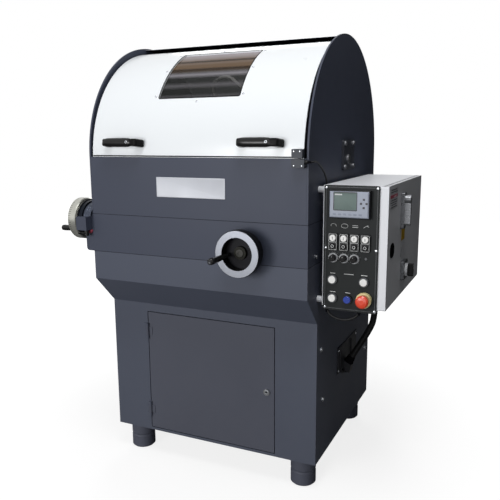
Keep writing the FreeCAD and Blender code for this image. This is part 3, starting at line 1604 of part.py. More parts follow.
# Panel

def face_x(share):
    """Place across the panel."""
    return f"({FACE_LEFT} + face_width * {share})"


def face_z(share):
    """Place up the panel."""
    return f"({FACE_LOW} + face_height * {share})"


def panel_plate():
    """Black plate that carries the controls."""
    plate = block(
        (FACE_LEFT, f"{FACE_LEFT} + face_width"),
        (FACE_FRONT, "-cabinet_front"),
        (FACE_LOW, f"{FACE_LOW} + face_height"),
    )
    sub_part("panel_plate", rounded(plate, "face_round", runs_along(Y_AXIS)))


def display_housing():
    """Operator display: a housing with a sloping border and a sunken screen."""
    x = face_x(DISPLAY_SHARES[0])
    z = face_z(DISPLAY_SHARES[1])
    back = f"({FACE_FRONT} - display_depth + display_bevel)"
    body = block(centred(x, "display_width"), (back, FACE_FRONT), centred(z, "display_height"))
    front = document.addObject("Part::Wedge", "Border")
    for name, text in (
        ("Xmin", "-display_width / 2"), ("Xmax", "display_width / 2"),
        ("Zmin", "-display_height / 2"), ("Zmax", "display_height / 2"),
        ("X2min", "display_bevel - display_width / 2"), ("X2max", "display_width / 2 - display_bevel"),
        ("Z2min", "display_bevel - display_height / 2"), ("Z2max", "display_height / 2 - display_bevel"),
        ("Ymin", "0"), ("Ymax", "display_bevel"),
    ):
        bind(front, name, text)
    put(front, (x, back, z), FreeCAD.Rotation(Z_AXIS, 180))
    screen_x = f"{x} - display_width / 2 + display_width * {SCREEN_SHARES[0]}"
    screen_z = f"{z} - display_height / 2 + display_height * {SCREEN_SHARES[1]}"
    screen = block(
        centred(screen_x, "screen_width"),
        (f"{FACE_FRONT} - display_depth - overrun", f"{FACE_FRONT} - display_depth + screen_depth"),
        centred(screen_z, "screen_height"),
    )
    sub_part("display_housing", cut(join(body, front), screen))


def ring(x, z, outer, inner, wall):
    """A ring on the panel's face."""
    place = (x, f"{FACE_FRONT} - {wall}", z)
    bore_place = (x, f"{FACE_FRONT} - {wall} - overrun", z)
    return cut(rod(outer, wall, place, ALONG_Y), rod(inner, f"{wall} + overrun", bore_place, ALONG_Y))


def button_bezels():
    """Frames of the double buttons, rings of the single ones and knobs, and the stop's collar."""
    made = []
    for share in COLUMN_SHARES:
        x = face_x(share)
        frame = block(
            centred(x, "bezel_width"),
            (f"{FACE_FRONT} - bezel_wall", FACE_FRONT),
            centred(face_z(BEZEL_ROW_SHARE), "bezel_height"),
        )
        frame = rounded(frame, "bezel_round", runs_along(Y_AXIS))
        bores = []
        for radius, row in (("start_radius", START_ROW_SHARE), ("stop_radius", STOP_ROW_SHARE)):
            place = (x, f"{FACE_FRONT} - bezel_wall - overrun", face_z(row))
            bores.append(rod(f"{radius} + slip", "bezel_wall + overrun", place, ALONG_Y))
        made.append(cut(frame, *bores))
    for across, up in BUTTON_SHARES.values():
        made.append(ring(face_x(across), face_z(up), "button_ring", "button_radius + slip", "bezel_wall"))
    for share in KNOB_COLUMN_SHARES:
        made.append(ring(face_x(share), face_z(KNOB_ROW_SHARE), "knob_ring", "knob_radius / 2 + slip", "knob_ring_wall"))
    across, up = EMERGENCY_SHARES
    made.append(ring(face_x(across), face_z(up), "collar_radius", "mushroom_stem + slip", "collar_wall"))
    sub_part("button_bezels", group(*made))


def push_button(label, across, up, radius):
    """A push button that stands proud of its bezel and has room behind to travel."""
    deep = "(bezel_wall + button_stand - button_travel - slip)"
    outline = [
        ("0", "0"),
        (radius, "0"),
        (radius, f"{deep} - button_edge"),
        (f"{radius} - button_edge", deep),
        ("0", deep),
    ]
    place = (face_x(across), f"{FACE_FRONT} - button_travel - slip", face_z(up))
    sub_part(label, lathe(outline, place, TO_FRONT))


def selector_knob(label, share):
    """Rotary knob with a raised grip bar and a spigot in its ring."""
    face = f"{FACE_FRONT} - knob_ring_wall - slip"
    place = (face_x(share), face, face_z(KNOB_ROW_SHARE))
    outline = [
        ("0", "-knob_ring_wall"),
        ("knob_radius / 2", "-knob_ring_wall"),
        ("knob_radius / 2", "0"),
        ("knob_radius + button_edge", "0"),
        ("knob_radius", "knob_rise - button_edge"),
        ("knob_radius - button_edge", "knob_rise"),
        ("0", "knob_rise"),
    ]
    grip_bar = block(
        symmetric("knob_grip"),
        symmetric("2 * knob_radius - 2 * button_edge"),
        ("knob_rise / 2", "knob_rise + knob_grip_rise - knob_rise / 2"),
    )
    sub_part(label, put(join(lathe(outline), grip_bar), place, TO_FRONT))


def emergency_stop():
    """Mushroom head on its stem, with room to travel."""
    under = "(collar_wall - mushroom_travel)"
    top = f"({under} + mushroom_travel + mushroom_travel + mushroom_wall)"
    outline = [
        ("0", "0"),
        ("mushroom_stem", "0"),
        ("mushroom_stem", f"{under} + 2 * mushroom_travel"),
        ("mushroom_radius - button_edge", f"{under} + 2 * mushroom_travel"),
        ("mushroom_radius", f"{under} + 2 * mushroom_travel + button_edge"),
        ("mushroom_radius", f"{top} - mushroom_dome"),
        ("mushroom_radius * 0.8", f"{top} - mushroom_dome / 4"),
        ("mushroom_radius * 0.4", top),
        ("0", top),
    ]
    across, up = EMERGENCY_SHARES
    place = (face_x(across), f"{FACE_FRONT} - mushroom_travel - slip", face_z(up))
    sub_part("emergency_stop", lathe(outline, place, TO_FRONT))


def controls():
    """Everything on the panel."""
    panel_plate()
    display_housing()
    button_bezels()
    for number, share in enumerate(COLUMN_SHARES, start=1):
        push_button(f"start_button_{number}", share, START_ROW_SHARE, "start_radius")
        push_button(f"stop_button_{number}", share, STOP_ROW_SHARE, "stop_radius")
    for label, (across, up) in BUTTON_SHARES.items():
        push_button(label, across, up, "button_radius")
    for number, share in enumerate(KNOB_COLUMN_SHARES, start=1):
        selector_knob(f"speed_knob_{number}", share)
    emergency_stop()


# Cables and the fitting that the conduit leaves

def hose_port():
    """Side fitting: a plate, a raised lip with a round bottom and the angled spout of the conduit."""
    plate = block((SIDE, f"{SIDE} + port_wall"), centred("port_back", "port_width"), (PORT_LOW, f"{PORT_LOW} + port_height"))
    low = f"({PORT_LOW} - lip_drop)"
    high = f"({low} + lip_height)"
    front = f"({SIDE} + port_wall + lip_rise)"
    lip = block((SIDE, front), centred(CONDUIT_Y, "lip_width"), (low, high))
    well = block(
        (f"{SIDE} - overrun", f"{front} + overrun"),
        centred(CONDUIT_Y, "lip_width - 2 * lip_wall"),
        (f"{low} + lip_wall", f"{high} + overrun"),
    )
    limit = value(f"{low} + lip_round")
    lower = lambda edge: runs_along(X_AXIS)(edge) and edge.CenterOfMass.z < limit
    band = cut(rounded(lip, "lip_round", lower), rounded(well, "lip_round - lip_wall", lower))
    x, y, z = CONDUIT_START
    outline = [
        (SIDE, f"{z} - spout_drop"),
        (f"{SIDE} + spout_foot", f"{z} - spout_drop"),
        (f"{x} + spout_half * {LEAN_Z} / {LEAN}", f"{z} - spout_half * {LEAN_X} / {LEAN}"),
        (f"{x} - spout_half * {LEAN_Z} / {LEAN}", f"{z} + spout_half * {LEAN_X} / {LEAN}"),
        (SIDE, f"{z} + spout_half * {LEAN_X} / {LEAN}"),
    ]
    spout = prism("XZ_Plane", outline, "spout_width", ("0", f"{y} + spout_width / 2", "0"))
    sub_part("hose_port", join(plate, band, spout))


def power_conduit():
    """Conduit from the side fitting up to the bottom of the cabinet."""
    points = route(CONDUIT_START, CONDUIT_REACH, CONDUIT_SHARES)
    sub_part("power_conduit", free_shape(swept(points, value("conduit_radius"))))


def control_cables():
    """Interlock cable along the side and the loop that hangs under the panel."""
    start = (
        f"({SWITCH_X} + switch_width / 2)",
        "(-body_front - switch_depth / 2)",
        f"({HOOD_LOW} - switch_gap - switch_height / 3)",
    )
    end = (INTERLOCK_X, INTERLOCK_Y, f"({INTERLOCK_Z} + small_gland_height)")
    reach = [f"{last} - {first}" for first, last in zip(start, end)]
    reach[2] = f"{start[2]} - {end[2]}"
    downward = [(across, back, -drop) for across, back, drop in INTERLOCK_SHARES]
    interlock = route(start, reach, downward)
    low = (LOOP_LEFT, LOOP_Y, f"{CABINET_LOW} - small_gland_height")
    reach = (f"{LOOP_RIGHT} - {LOOP_LEFT}", "loop_drop", "loop_drop")
    loop = route(low, reach, [(across, back, -drop) for across, back, drop in LOOP_SHARES])
    tubes = [free_shape(swept(interlock, value("cable_radius"))), free_shape(swept(loop, value("loop_radius")))]
    sub_part("control_cables", group(*tubes))


def build():
    """Make every sub-part."""
    feet()
    pedestal()
    storage_door()
    cam_lock()
    bed_casting()
    feeds()
    clamp_lever()
    work_slide()
    work_head()
    work_spindle()
    grinding_slide()
    grinding_motor()
    grinding_spindle()
    cup_wheel()
    coolant_pipe()
    coolant_tank()
    front_panel()
    side_panel("side_panel_left", f"-{SIDE}")
    side_panel("side_panel_right", SIDE_INSIDE)
    rear_shell()
    pivot_flanges()
    hood_cover()
    window_pane()
    hood_pivots()
    hood_handles()
    interlock_switch()
    interlock_actuator()
    control_cabinet()
    cabinet_door()
    door_fittings()
    door_handle()
    main_switch()
    switchgear()
    controls()
    hose_port()
    power_conduit()
    control_cables()


def check():
    """Stop if any object failed or any sub-part isn't sound."""
    for thing in document.Objects:
        if {"Invalid", "Error"} & set(thing.State):
            raise RuntimeError(f"{thing.Name} ({thing.Label}) failed: {thing.State}")
    for thing in nodes:
        if thing.Shape.isNull() or not thing.Shape.isValid() or not thing.Shape.Solids:
            raise RuntimeError(f"{thing.Label} has no sound shape")


build()
document.recompute()
check()
os.makedirs("parts", exist_ok=True)
for node in nodes:
    node.Shape.exportStep(f"parts/{node.Label}.step")
print(len(nodes), "sub-parts")
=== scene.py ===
"""Looks of a circular knife grinder: finishes for its rigid parts, and the small parts that they carry."""

import logging
import math
from dataclasses import dataclass
from enum import Enum
from typing import Callable, Mapping, Optional, Sequence, Union

import bmesh
import bpy
import numpy as np
from mathutils import Matrix, Vector


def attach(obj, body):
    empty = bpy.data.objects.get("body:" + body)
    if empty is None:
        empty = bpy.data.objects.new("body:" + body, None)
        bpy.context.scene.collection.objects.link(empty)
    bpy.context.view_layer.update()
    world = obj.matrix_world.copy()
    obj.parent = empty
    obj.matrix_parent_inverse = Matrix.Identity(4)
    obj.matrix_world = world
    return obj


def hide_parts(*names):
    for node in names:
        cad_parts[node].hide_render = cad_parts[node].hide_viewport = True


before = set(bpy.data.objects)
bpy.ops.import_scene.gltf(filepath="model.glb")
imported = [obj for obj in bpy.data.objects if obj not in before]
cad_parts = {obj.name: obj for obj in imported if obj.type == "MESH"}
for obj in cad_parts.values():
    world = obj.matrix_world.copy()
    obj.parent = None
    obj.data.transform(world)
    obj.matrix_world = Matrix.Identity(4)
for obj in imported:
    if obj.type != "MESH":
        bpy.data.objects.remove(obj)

log = logging.getLogger("knife_grinder")

Point = Sequence[float]
Points = Sequence[Point]
Colour = tuple[int, int, int]
Tone = tuple[float, float, float, float]
Socket = bpy.types.NodeSocket
Sockets = Mapping[str, Socket]


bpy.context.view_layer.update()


class Axis(Enum):
    """The way that a small part points, out of the surface that carries it."""

    FRONT = (0, -1, 0)
    RIGHT = (1, 0, 0)
    LEFT = (-1, 0, 0)
    UP = (0, 0, 1)
    BACK = (0, 1, 0)


Way = Union[Axis, Point]


class Place(float, Enum):
    """Levels and faces of the machine, in metres."""

    SIDE = 0.406
    FRONT = -0.450
    BACK = 0.365
    DOME_Y = -0.0425
    BED_LOW = 0.812
    BED_HIGH = 0.947
    HOOD_LOW = 1.147
    PANEL_FACE = -0.369
    DOOR_FACE = 0.629
    PIVOT_Y = -0.0525
    PIVOT_Z = 1.133
    COVER_RADIUS = 0.398


def linear(colour: Colour) -> Tone:
    """A colour written as 0 to 255 screen values, as the linear value that a shader takes.

    Args:
        colour: Red, green and blue.

    Returns:
        The linear colour with full alpha.
    """
    share = np.asarray(colour, float) / 255
    bright = np.where(share <= 0.04045, share / 12.92, ((share + 0.055) / 1.055) ** 2.4)
    return (*bright.tolist(), 1.0)


def shade(tone: Tone, times: float, plus: float = 0.0) -> Tone:
    """A linear colour made darker or lighter, up to full."""
    return (*(min(channel * times + plus, 1.0) for channel in tone[:3]), 1.0)


# Shader node groups

MIX_INPUTS = (0, 6, 7)
MIX_OUTPUT = 2


class Graph:
    """A thin hand on a node tree: adds nodes, joins sockets and does sums."""

    def __init__(self, tree: bpy.types.NodeTree) -> None:
        """Take the tree and clear it."""
        self.tree = tree
        tree.nodes.clear()

    def feed(self, socket: Socket, value: object) -> None:
        """Set a socket, or join it where the value is a socket too."""
        if isinstance(value, Socket):
            self.tree.links.new(value, socket)
        else:
            socket.default_value = value

    def node(self, kind: str, inputs: Optional[dict] = None, **settings: object) -> bpy.types.Node:
        """Add a node.

        Args:
            kind: Its type without the leading words.
            inputs: Socket name or number to a value, or to a socket to join.
            settings: Its properties.

        Returns:
            The node.
        """
        made = self.tree.nodes.new(f"ShaderNode{kind}")
        for name, value in settings.items():
            setattr(made, name, value)
        for key, value in (inputs or {}).items():
            self.feed(made.inputs[key], value)
        return made

    def sum(self, operation: str, *values: object, clamp: bool = False) -> Socket:
        """One Math node; its values are numbers or sockets."""
        return self.node("Math", dict(enumerate(values)), operation=operation, use_clamp=clamp).outputs[0]

    def times(self, first: object, second: object) -> Socket:
        """A product."""
        return self.sum("MULTIPLY", first, second)

    def scaled(self, value: object, by: float, plus: float) -> Socket:
        """A value times a number, plus a number."""
        return self.sum("MULTIPLY_ADD", value, by, plus)

    def above(self, value: object, low: object) -> Socket:
        """1 where a value is over a bound, and 0 elsewhere."""
        return self.sum("GREATER_THAN", value, low)

    def below(self, value: object, high: object) -> Socket:
        """1 where a value is under a bound, and 0 elsewhere."""
        return self.sum("LESS_THAN", value, high)

    def between(self, value: object, low: object, high: object) -> Socket:
        """1 where a value lies between two bounds, and 0 elsewhere."""
        return self.times(self.above(value, low), self.below(value, high))

    def ramp(self, value: Socket, low: float, high: float, first: float = 0.0, last: float = 1.0) -> Socket:
        """Run from a first number to a last one while a value runs between two bounds."""
        inputs = {"Value": value, "From Min": low, "From Max": high, "To Min": first, "To Max": last}
        return self.node("MapRange", inputs).outputs[0]

    def band(self, value: Socket, middle: float, half: float, share: float) -> Socket:
        """A share at a middle value, which fades to nothing over half the band's width."""
        return self.ramp(self.sum("ABSOLUTE", self.sum("SUBTRACT", value, middle)), 0.0, half, share, 0.0)

    def blend(self, share: object, first: object, second: object) -> Socket:
        """Mix two colours by a share, which is 0 for the first."""
        made = self.node("Mix", data_type="RGBA")
        for number, value in zip(MIX_INPUTS, (share, first, second)):
            self.feed(made.inputs[number], value)
        return made.outputs[MIX_OUTPUT]


class Group(Graph):
    """A node group that the finishes share. Its own inputs are in given."""

    def __init__(self, name: str, inputs: dict[str, Optional[float]], outputs: Sequence[str]) -> None:
        """Make the group and its sockets.

        Args:
            name: The group's name.
            inputs: Socket name to its default: a number, or None for a vector.
            outputs: Names of the numbers that it gives.
        """
        super().__init__(bpy.data.node_groups.new(name, "ShaderNodeTree"))
        for label, default in inputs.items():
            kind = "NodeSocketVector" if default is None else "NodeSocketFloat"
            socket = self.tree.interface.new_socket(label, in_out="INPUT", socket_type=kind)
            if default is not None:
                socket.default_value = default
        for label in outputs:
            self.tree.interface.new_socket(label, in_out="OUTPUT", socket_type="NodeSocketFloat")
        self.given = self.tree.nodes.new("NodeGroupInput").outputs
        self.end = self.tree.nodes.new("NodeGroupOutput").inputs

    def finished(self, results: Sockets) -> bpy.types.NodeTree:
        """Join the results to the group's outputs and give its tree."""
        for label, socket in results.items():
            self.feed(self.end[label], socket)
        return self.tree


def make_grain_group() -> bpy.types.NodeTree:
    """Fine height of a sprayed or cast skin, and the broad patches in its shade."""
    group = Group("SurfaceGrain", {"Vector": None, "Scale": 400.0, "Patch Scale": 3.0}, ("Height", "Patches"))
    given = group.given
    fine = group.node("TexNoise", {"Vector": given["Vector"], "Scale": given["Scale"], "Detail": 3.0})
    broad = group.node("TexNoise", {"Vector": given["Vector"], "Scale": given["Patch Scale"], "Detail": 4.0})
    return group.finished({"Height": fine.outputs["Fac"], "Patches": broad.outputs["Fac"]})


def make_dust_group() -> bpy.types.NodeTree:
    """Share of dust: most near the floor, broken up by noise."""
    group = Group("FloorDust", {"Vector": None, "Height": 0.5, "Amount": 0.3}, ("Dust",))
    given = group.given
    parts = group.node("SeparateXYZ", {"Vector": given["Vector"]}).outputs
    near = group.sum("SUBTRACT", 1.0, group.sum("DIVIDE", parts["Z"], given["Height"]), clamp=True)
    specks = group.node("TexNoise", {"Vector": given["Vector"], "Scale": 26.0, "Detail": 6.0})
    broken = group.times(near, specks.outputs["Fac"])
    return group.finished({"Dust": group.times(broken, given["Amount"])})


def make_brushed_group() -> bpy.types.NodeTree:
    """Long fine scratches along the vector's own X axis."""
    group = Group("BrushedLines", {"Vector": None, "Scale": 60.0}, ("Lines",))
    stretch = {0: group.given["Vector"], 1: (0.04, 1.0, 1.0)}
    stretched = group.node("VectorMath", stretch, operation="MULTIPLY").outputs[0]
    inputs = {"Vector": stretched, "Scale": group.given["Scale"], "Detail": 5.0, "Roughness": 0.7}
    return group.finished({"Lines": group.node("TexNoise", inputs).outputs["Fac"]})


def make_round_group() -> bpy.types.NodeTree:
    """Distance from the vector's Z axis, turn about it and place along it."""
    group = Group("RoundPlace", {"Vector": None}, ("Radius", "Turn", "Along"))
    parts = group.node("SeparateXYZ", {"Vector": group.given["Vector"]}).outputs
    x, y = parts["X"], parts["Y"]
    radius = group.sum("SQRT", group.sum("ADD", group.times(x, x), group.times(y, y)))
    turn = group.sum("ADD", group.sum("DIVIDE", group.sum("ARCTAN2", y, x), math.tau), 0.5)
    return group.finished({"Radius": radius, "Turn": turn, "Along": parts["Z"]})


def make_ticks_group() -> bpy.types.NodeTree:
    """Engraved division lines round a dial, between two places along a line."""
    inputs = {"Turn": 0.0, "Along": 0.0, "Count": 60.0, "Width": 0.12, "Low": 0.0, "High": 1.0}
    group = Group("DialTicks", inputs, ("Ticks",))
    given = group.given
    saw = group.sum("FRACT", group.times(given["Turn"], given["Count"]))
    line = group.below(saw, given["Width"])
    zone = group.between(given["Along"], given["Low"], given["High"])
    return group.finished({"Ticks": group.times(line, zone)})


GROUPS = {
    "grain": make_grain_group(),
    "dust": make_dust_group(),
    "brushed": make_brushed_group(),
    "round": make_round_group(),
    "ticks": make_ticks_group(),
}


class Surface(Graph):
    """The node tree of one material, with its object coordinates and its one shader."""

    def __init__(self, name: str) -> None:
        """Make the material, its coordinates and its shader."""
        self.material = bpy.data.materials.new(name)
        self.material.use_nodes = True
        super().__init__(self.material.node_tree)
        self.place = self.node("TexCoord").outputs["Object"]
        self.shader = self.node("BsdfPrincipled")
        self.end = self.node("OutputMaterial").inputs["Surface"]
        self.feed(self.end, self.shader.outputs[0])

    def group(self, key: str, inputs: dict) -> Sockets:
        """Place one of the shared groups and give its outputs."""
        return self.node("Group", inputs, node_tree=GROUPS[key]).outputs

    def grain(self, scale: float, patch_scale: float) -> Sockets:
        """Fine grain and broad patches over the whole part."""
        return self.group("grain", {"Vector": self.place, "Scale": scale, "Patch Scale": patch_scale})

    def along(self, axis: str) -> Socket:
        """One of the object coordinates."""
        return self.node("SeparateXYZ", {"Vector": self.place}).outputs[axis]

    def give(self, inputs: dict[str, object]) -> None:
        """Set or join inputs of the shader."""
        for name, value in inputs.items():
            self.feed(self.shader.inputs[name], value)

    def bump(self, height: Socket, strength: float, distance: float) -> None:
        """Raise the surface by a height socket."""
        made = self.node("Bump", {"Height": height, "Strength": strength, "Distance": distance})
        self.give({"Normal": made.outputs["Normal"]})

    def centred(self, centre: Point, turn: Point) -> Socket:
        """Coordinates measured from a point, with a part's own axis along Z."""
        inputs = {"Vector": self.place, "Location": centre, "Rotation": turn}
        return self.node("Mapping", inputs, vector_type="TEXTURE").outputs[0]


@dataclass(frozen=True)
class Finish:
    """A named finish with a main colour."""

    name: str
    colour: Colour

    def build(self) -> bpy.types.Material:
        """Make the material.

        Returns:
            The finished material.
        """
        surface = Surface(self.name)
        self.fill(surface)
        return surface.material

    def fill(self, surface: Surface) -> None:
        """Set the material's shader, in each kind of finish its own way."""
        raise NotImplementedError


@dataclass(frozen=True)
class Paint(Finish):
    """Sprayed paint: orange-peel skin, faint patches, and dust towards the floor.

    A dark inside is the Y and Z of an axis along X, a radius within which the sheet is near-black, and the Y
    as far back as that zone reaches.
    """

    rough: float = 0.42
    coat: float = 0.0
    peel: float = 0.10
    patches: float = 0.10
    dust: float = 0.0
    specular: float = 0.3
    dark_inside: Optional[tuple[float, float, float, float]] = None
    dark_inside_tone: Colour = (8, 8, 12)
    dust_tone: Colour = (150, 148, 143)
    dust_height: float = 0.75

    def fill(self, surface: Surface) -> None:
        """Set the paint's shader."""
        grain = surface.grain(420.0, 5.0)
        base = linear(self.colour)
        tone = surface.blend(grain["Patches"], shade(base, 1 - self.patches), shade(base, 1 + self.patches))
        rough = surface.scaled(grain["Patches"], 0.16, self.rough - 0.08)
        if self.dust:
            inputs = {"Vector": surface.place, "Height": self.dust_height, "Amount": self.dust}
            dust = surface.group("dust", inputs)["Dust"]
            tone = surface.blend(dust, tone, linear(self.dust_tone))
            rough = surface.scaled(dust, 0.4, rough)
        coat, specular = self.coat, self.specular
        # Within the radius and in front of the given Y, the sheet takes a near-black tone with no coat and no
        # specular.
        if self.dark_inside:
            y, z, reach, back = self.dark_inside
            local = surface.centred((0, y, z), (0, math.radians(90), 0))
            inside = surface.below(surface.group("round", {"Vector": local})["Radius"], reach)
            dark_zone = surface.times(inside, surface.below(surface.along("Y"), back))
            tone = surface.blend(dark_zone, tone, linear(self.dark_inside_tone))
            coat, specular = (surface.scaled(dark_zone, -level, level) for level in (coat, specular))
        surface.give({"Base Color": tone, "Roughness": rough, "Specular IOR Level": specular})
        surface.give({"Coat Weight": coat, "Coat Roughness": 0.12})
        surface.bump(grain["Height"], self.peel, 0.0004)


@dataclass(frozen=True)
class Metal(Finish):
    """Bare metal with fine lines, from ground steel to a rough casting."""

    rough: float = 0.3
    metallic: float = 1.0
    lines: float = 120.0
    depth: float = 0.15

    def fill(self, surface: Surface) -> None:
        """Set the metal's shader."""
        lines = surface.group("brushed", {"Vector": surface.place, "Scale": self.lines})["Lines"]
        base = linear(self.colour)
        tone = surface.blend(surface.grain(300.0, 9.0)["Patches"], shade(base, 0.82), base)
        rough = surface.scaled(lines, 0.22, self.rough - 0.1)
        surface.give({"Base Color": tone, "Metallic": self.metallic, "Roughness": rough})
        surface.bump(lines, self.depth, 0.0003)


@dataclass(frozen=True)
class Plastic(Finish):
    """Moulded plastic or rubber with a fine even texture."""

    rough: float = 0.35
    texture: float = 0.1
    scale: float = 900.0
    coat: float = 0.0
    specular: float = 0.5

    def fill(self, surface: Surface) -> None:
        """Set the plastic's shader."""
        cells = surface.node("TexVoronoi", {"Vector": surface.place, "Scale": self.scale})
        patches = surface.grain(500.0, 14.0)["Patches"]
        base = linear(self.colour)
        tone = surface.blend(patches, base, shade(base, 0.85, 0.006))
        surface.give({"Base Color": tone, "Roughness": surface.scaled(patches, 0.18, self.rough - 0.09)})
        surface.give({"Coat Weight": self.coat, "Specular IOR Level": self.specular})
        surface.bump(cells.outputs["Distance"], self.texture, 0.0003)


@dataclass(frozen=True)
class Cast(Finish):
    """Cast iron: pitted and dull, or scraped where it is machined."""

    rough: float = 0.55
    metallic: float = 0.6

    def fill(self, surface: Surface) -> None:
        """Set the iron's shader."""
        inputs = {"Vector": surface.place, "Scale": 240.0, "Detail": 8.0, "Roughness": 0.65}
        pits = surface.node("TexNoise", inputs).outputs["Fac"]
        oil = surface.node("TexNoise", {"Vector": surface.place, "Scale": 12.0, "Detail": 5.0}).outputs["Fac"]
        base = linear(self.colour)
        tone = surface.blend(oil, base, shade(base, 0.55))
        rough = surface.scaled(oil, -0.3, self.rough + 0.15)
        surface.give({"Base Color": tone, "Metallic": self.metallic, "Roughness": rough})
        surface.bump(pits, 0.35, 0.0006)


@dataclass(frozen=True)
class Grit(Finish):
    """Bonded abrasive: open grain in a pale bond."""

    def fill(self, surface: Surface) -> None:
        """Set the abrasive's shader."""
        inputs = {"Vector": surface.place, "Scale": 700.0}
        edges = surface.node("TexVoronoi", inputs, feature="DISTANCE_TO_EDGE").outputs["Distance"]
        base = linear(self.colour)
        surface.give({"Base Color": surface.blend(edges, base, shade(base, 1.5)), "Roughness": 0.92})
        surface.bump(edges, 0.8, 0.0008)


@dataclass(frozen=True)
class Pane(Finish):
    """Tinted clear plastic, dark below, with painted light and shade of the hood's inside above it, as it
    shows
    through the pane and is reflected in it: a brown tone, a paler tone higher up and in level bands, and thin
    dark lines.

    Heights are in metres. A band is its middle, half its width and its share of the paler tone, and a dark
    line its middle and half its width.
    """

    painted_brown: Colour
    painted_pale: Colour
    clearness: float
    painted_bands: Points
    painted_dark_lines: Points
    rough: float = 0.08
    specular: float = 0.06
    painted_brown_from: tuple[float, float] = (1.424, 1.440)
    painted_pale_from: tuple[float, float] = (1.466, 1.504)
    painted_line_tone: Colour = (30, 19, 10)
    painted_line_share: float = 0.9
    waver: float = 0.006

    def fill(self, surface: Surface) -> None:
        """Set the pane's shader."""
        smears_and_band_waver = surface.group("brushed", {"Vector": surface.place, "Scale": 14.0})["Lines"]
        height = surface.along("Z")
        height = surface.sum("ADD", height, surface.scaled(smears_and_band_waver, self.waver, -self.waver / 2))
        # Painted reflections: a brown tone from one height up, then a paler tone and its bands, with wavering
        # edges; where they lie the pane lets less through.
        painted_brown = surface.ramp(height, *self.painted_brown_from)
        painted_pale = surface.ramp(height, *self.painted_pale_from)
        for middle, half, share in self.painted_bands:
            painted_pale = surface.sum("ADD", painted_pale, surface.band(height, middle, half, share))
        painted_pale = surface.sum("ADD", painted_pale, 0.0, clamp=True)
        tone = surface.blend(painted_brown, linear(self.colour), linear(self.painted_brown))
        tone = surface.blend(painted_pale, tone, linear(self.painted_pale))
        # Painted dark lines, where edges inside the hood show through the pane.
        for middle, half in self.painted_dark_lines:
            near = surface.band(height, middle, half, self.painted_line_share)
            tone = surface.blend(near, tone, linear(self.painted_line_tone))
        cover = surface.sum("MAXIMUM", surface.times(painted_brown, 0.35), surface.times(painted_pale, 0.5))
        surface.give({"Base Color": tone, "Roughness": surface.scaled(smears_and_band_waver, 0.12, self.rough - 0.04)})
        surface.give({"Alpha": surface.sum("ADD", cover, 1 - self.clearness)})
        surface.give({"Specular IOR Level": self.specular})


@dataclass(frozen=True)
class Dial(Finish):
    """A handwheel's zones: ring, rim, dark ring, drum, dish and hub, with engraved divisions and a painted
    highlight ring in the dish.

    Its colour is its rim's. Its coordinates run from the wheel's back face outwards, with the wheel's axis
    along Z, in metres.
    """

    centre: Point
    turn: Point
    drum: Colour
    bright_rim: bool = False
    foot: float = 0.0155
    rim_back: float = 0.023
    front: float = 0.0545
    ring: tuple[float, float] = (0.0525, 0.0735)
    step: tuple[float, float] = (0.0345, 0.0375)
    hub: float = 0.0215
    lines_from: float = 0.060
    fine_lines: tuple[float, float, float, float] = (100.0, 0.14, 0.004, 0.010)
    wide_lines: tuple[float, float, float, float] = (60.0, 0.16, 0.044, 0.0535)
    foot_tone: Colour = (32, 32, 36)
    black: Colour = (11, 11, 12)
    step_highlight_tone: Colour = (70, 71, 74)
    silver: Colour = (146, 149, 157)
    hub_tone: Colour = (42, 42, 37)

    def fill(self, surface: Surface) -> None:
        """Set the wheel's shader."""
        local = surface.centred(self.centre, self.turn)
        place = surface.group("round", {"Vector": local})
        radius, along = place["Radius"], place["Along"]
        low, high = self.ring
        foot = surface.below(along, self.foot)
        rim = surface.above(along, self.rim_back)
        inside = surface.times(surface.below(radius, low), rim)
        # Painted highlight: a lighter grey ring in the black dish, at its step.
        step = surface.times(surface.between(radius, *self.step), inside)
        face = surface.times(surface.above(along, self.front), surface.between(radius, low, high))
        hub = surface.below(radius, self.hub)
        tone = surface.blend(foot, linear(self.foot_tone), linear(self.drum))
        for zone, colour in (
            (rim, self.colour),
            (inside, self.black),
            (step, self.step_highlight_tone),
            (face, self.silver),
            (hub, self.hub_tone),
        ):
            tone = surface.blend(zone, tone, linear(colour))
        bright = surface.sum("MAXIMUM", face, foot)
        if self.bright_rim:
            bright = surface.sum("MAXIMUM", bright, surface.times(rim, surface.above(radius, low)))
        fine, wide = (self.ticks(surface, place, lines) for lines in (self.fine_lines, self.wide_lines))
        lines = surface.times(surface.sum("MAXIMUM", fine, wide), bright)
        lines = surface.times(lines, surface.above(radius, self.lines_from))
        rings = {"Vector": local, "Scale": 260.0, "Distortion": 0.6}
        rings = surface.node("TexWave", rings, wave_type="RINGS", rings_direction="Z").outputs["Fac"]
        surface.give({"Base Color": surface.blend(lines, tone, linear(self.black))})
        surface.give({"Metallic": surface.times(bright, 0.75), "Specular IOR Level": 0.08})
        surface.give({"Roughness": surface.scaled(rings, 0.08, 0.3)})
        surface.bump(rings, 0.05, 0.0002)

    @staticmethod
    def ticks(surface: Surface, place: Sockets, lines: Point) -> Socket:
        """Division lines of a count and width, from one place along the axis to another."""
        inputs = {"Turn": place["Turn"], "Along": place["Along"]}
        return surface.group("ticks", inputs | dict(zip(("Count", "Width", "Low", "High"), lines)))["Ticks"]


@dataclass(frozen=True)
class Capped(Finish):
    """A painted plate whose bolt heads stay bright, where they stand proud of a level."""

    level: float
    head: Colour = (176, 178, 182)

    def fill(self, surface: Surface) -> None:
        """Set the plate's shader."""
        grain = surface.grain(420.0, 8.0)
        proud = surface.above(surface.sum("ABSOLUTE", surface.along("X")), self.level)
        tone = surface.blend(proud, linear(self.colour), linear(self.head))
        rough = surface.scaled(grain["Patches"], 0.16, 0.3)
        surface.give({"Base Color": tone, "Metallic": proud, "Roughness": rough})
        surface.bump(grain["Height"], 0.12, 0.0004)


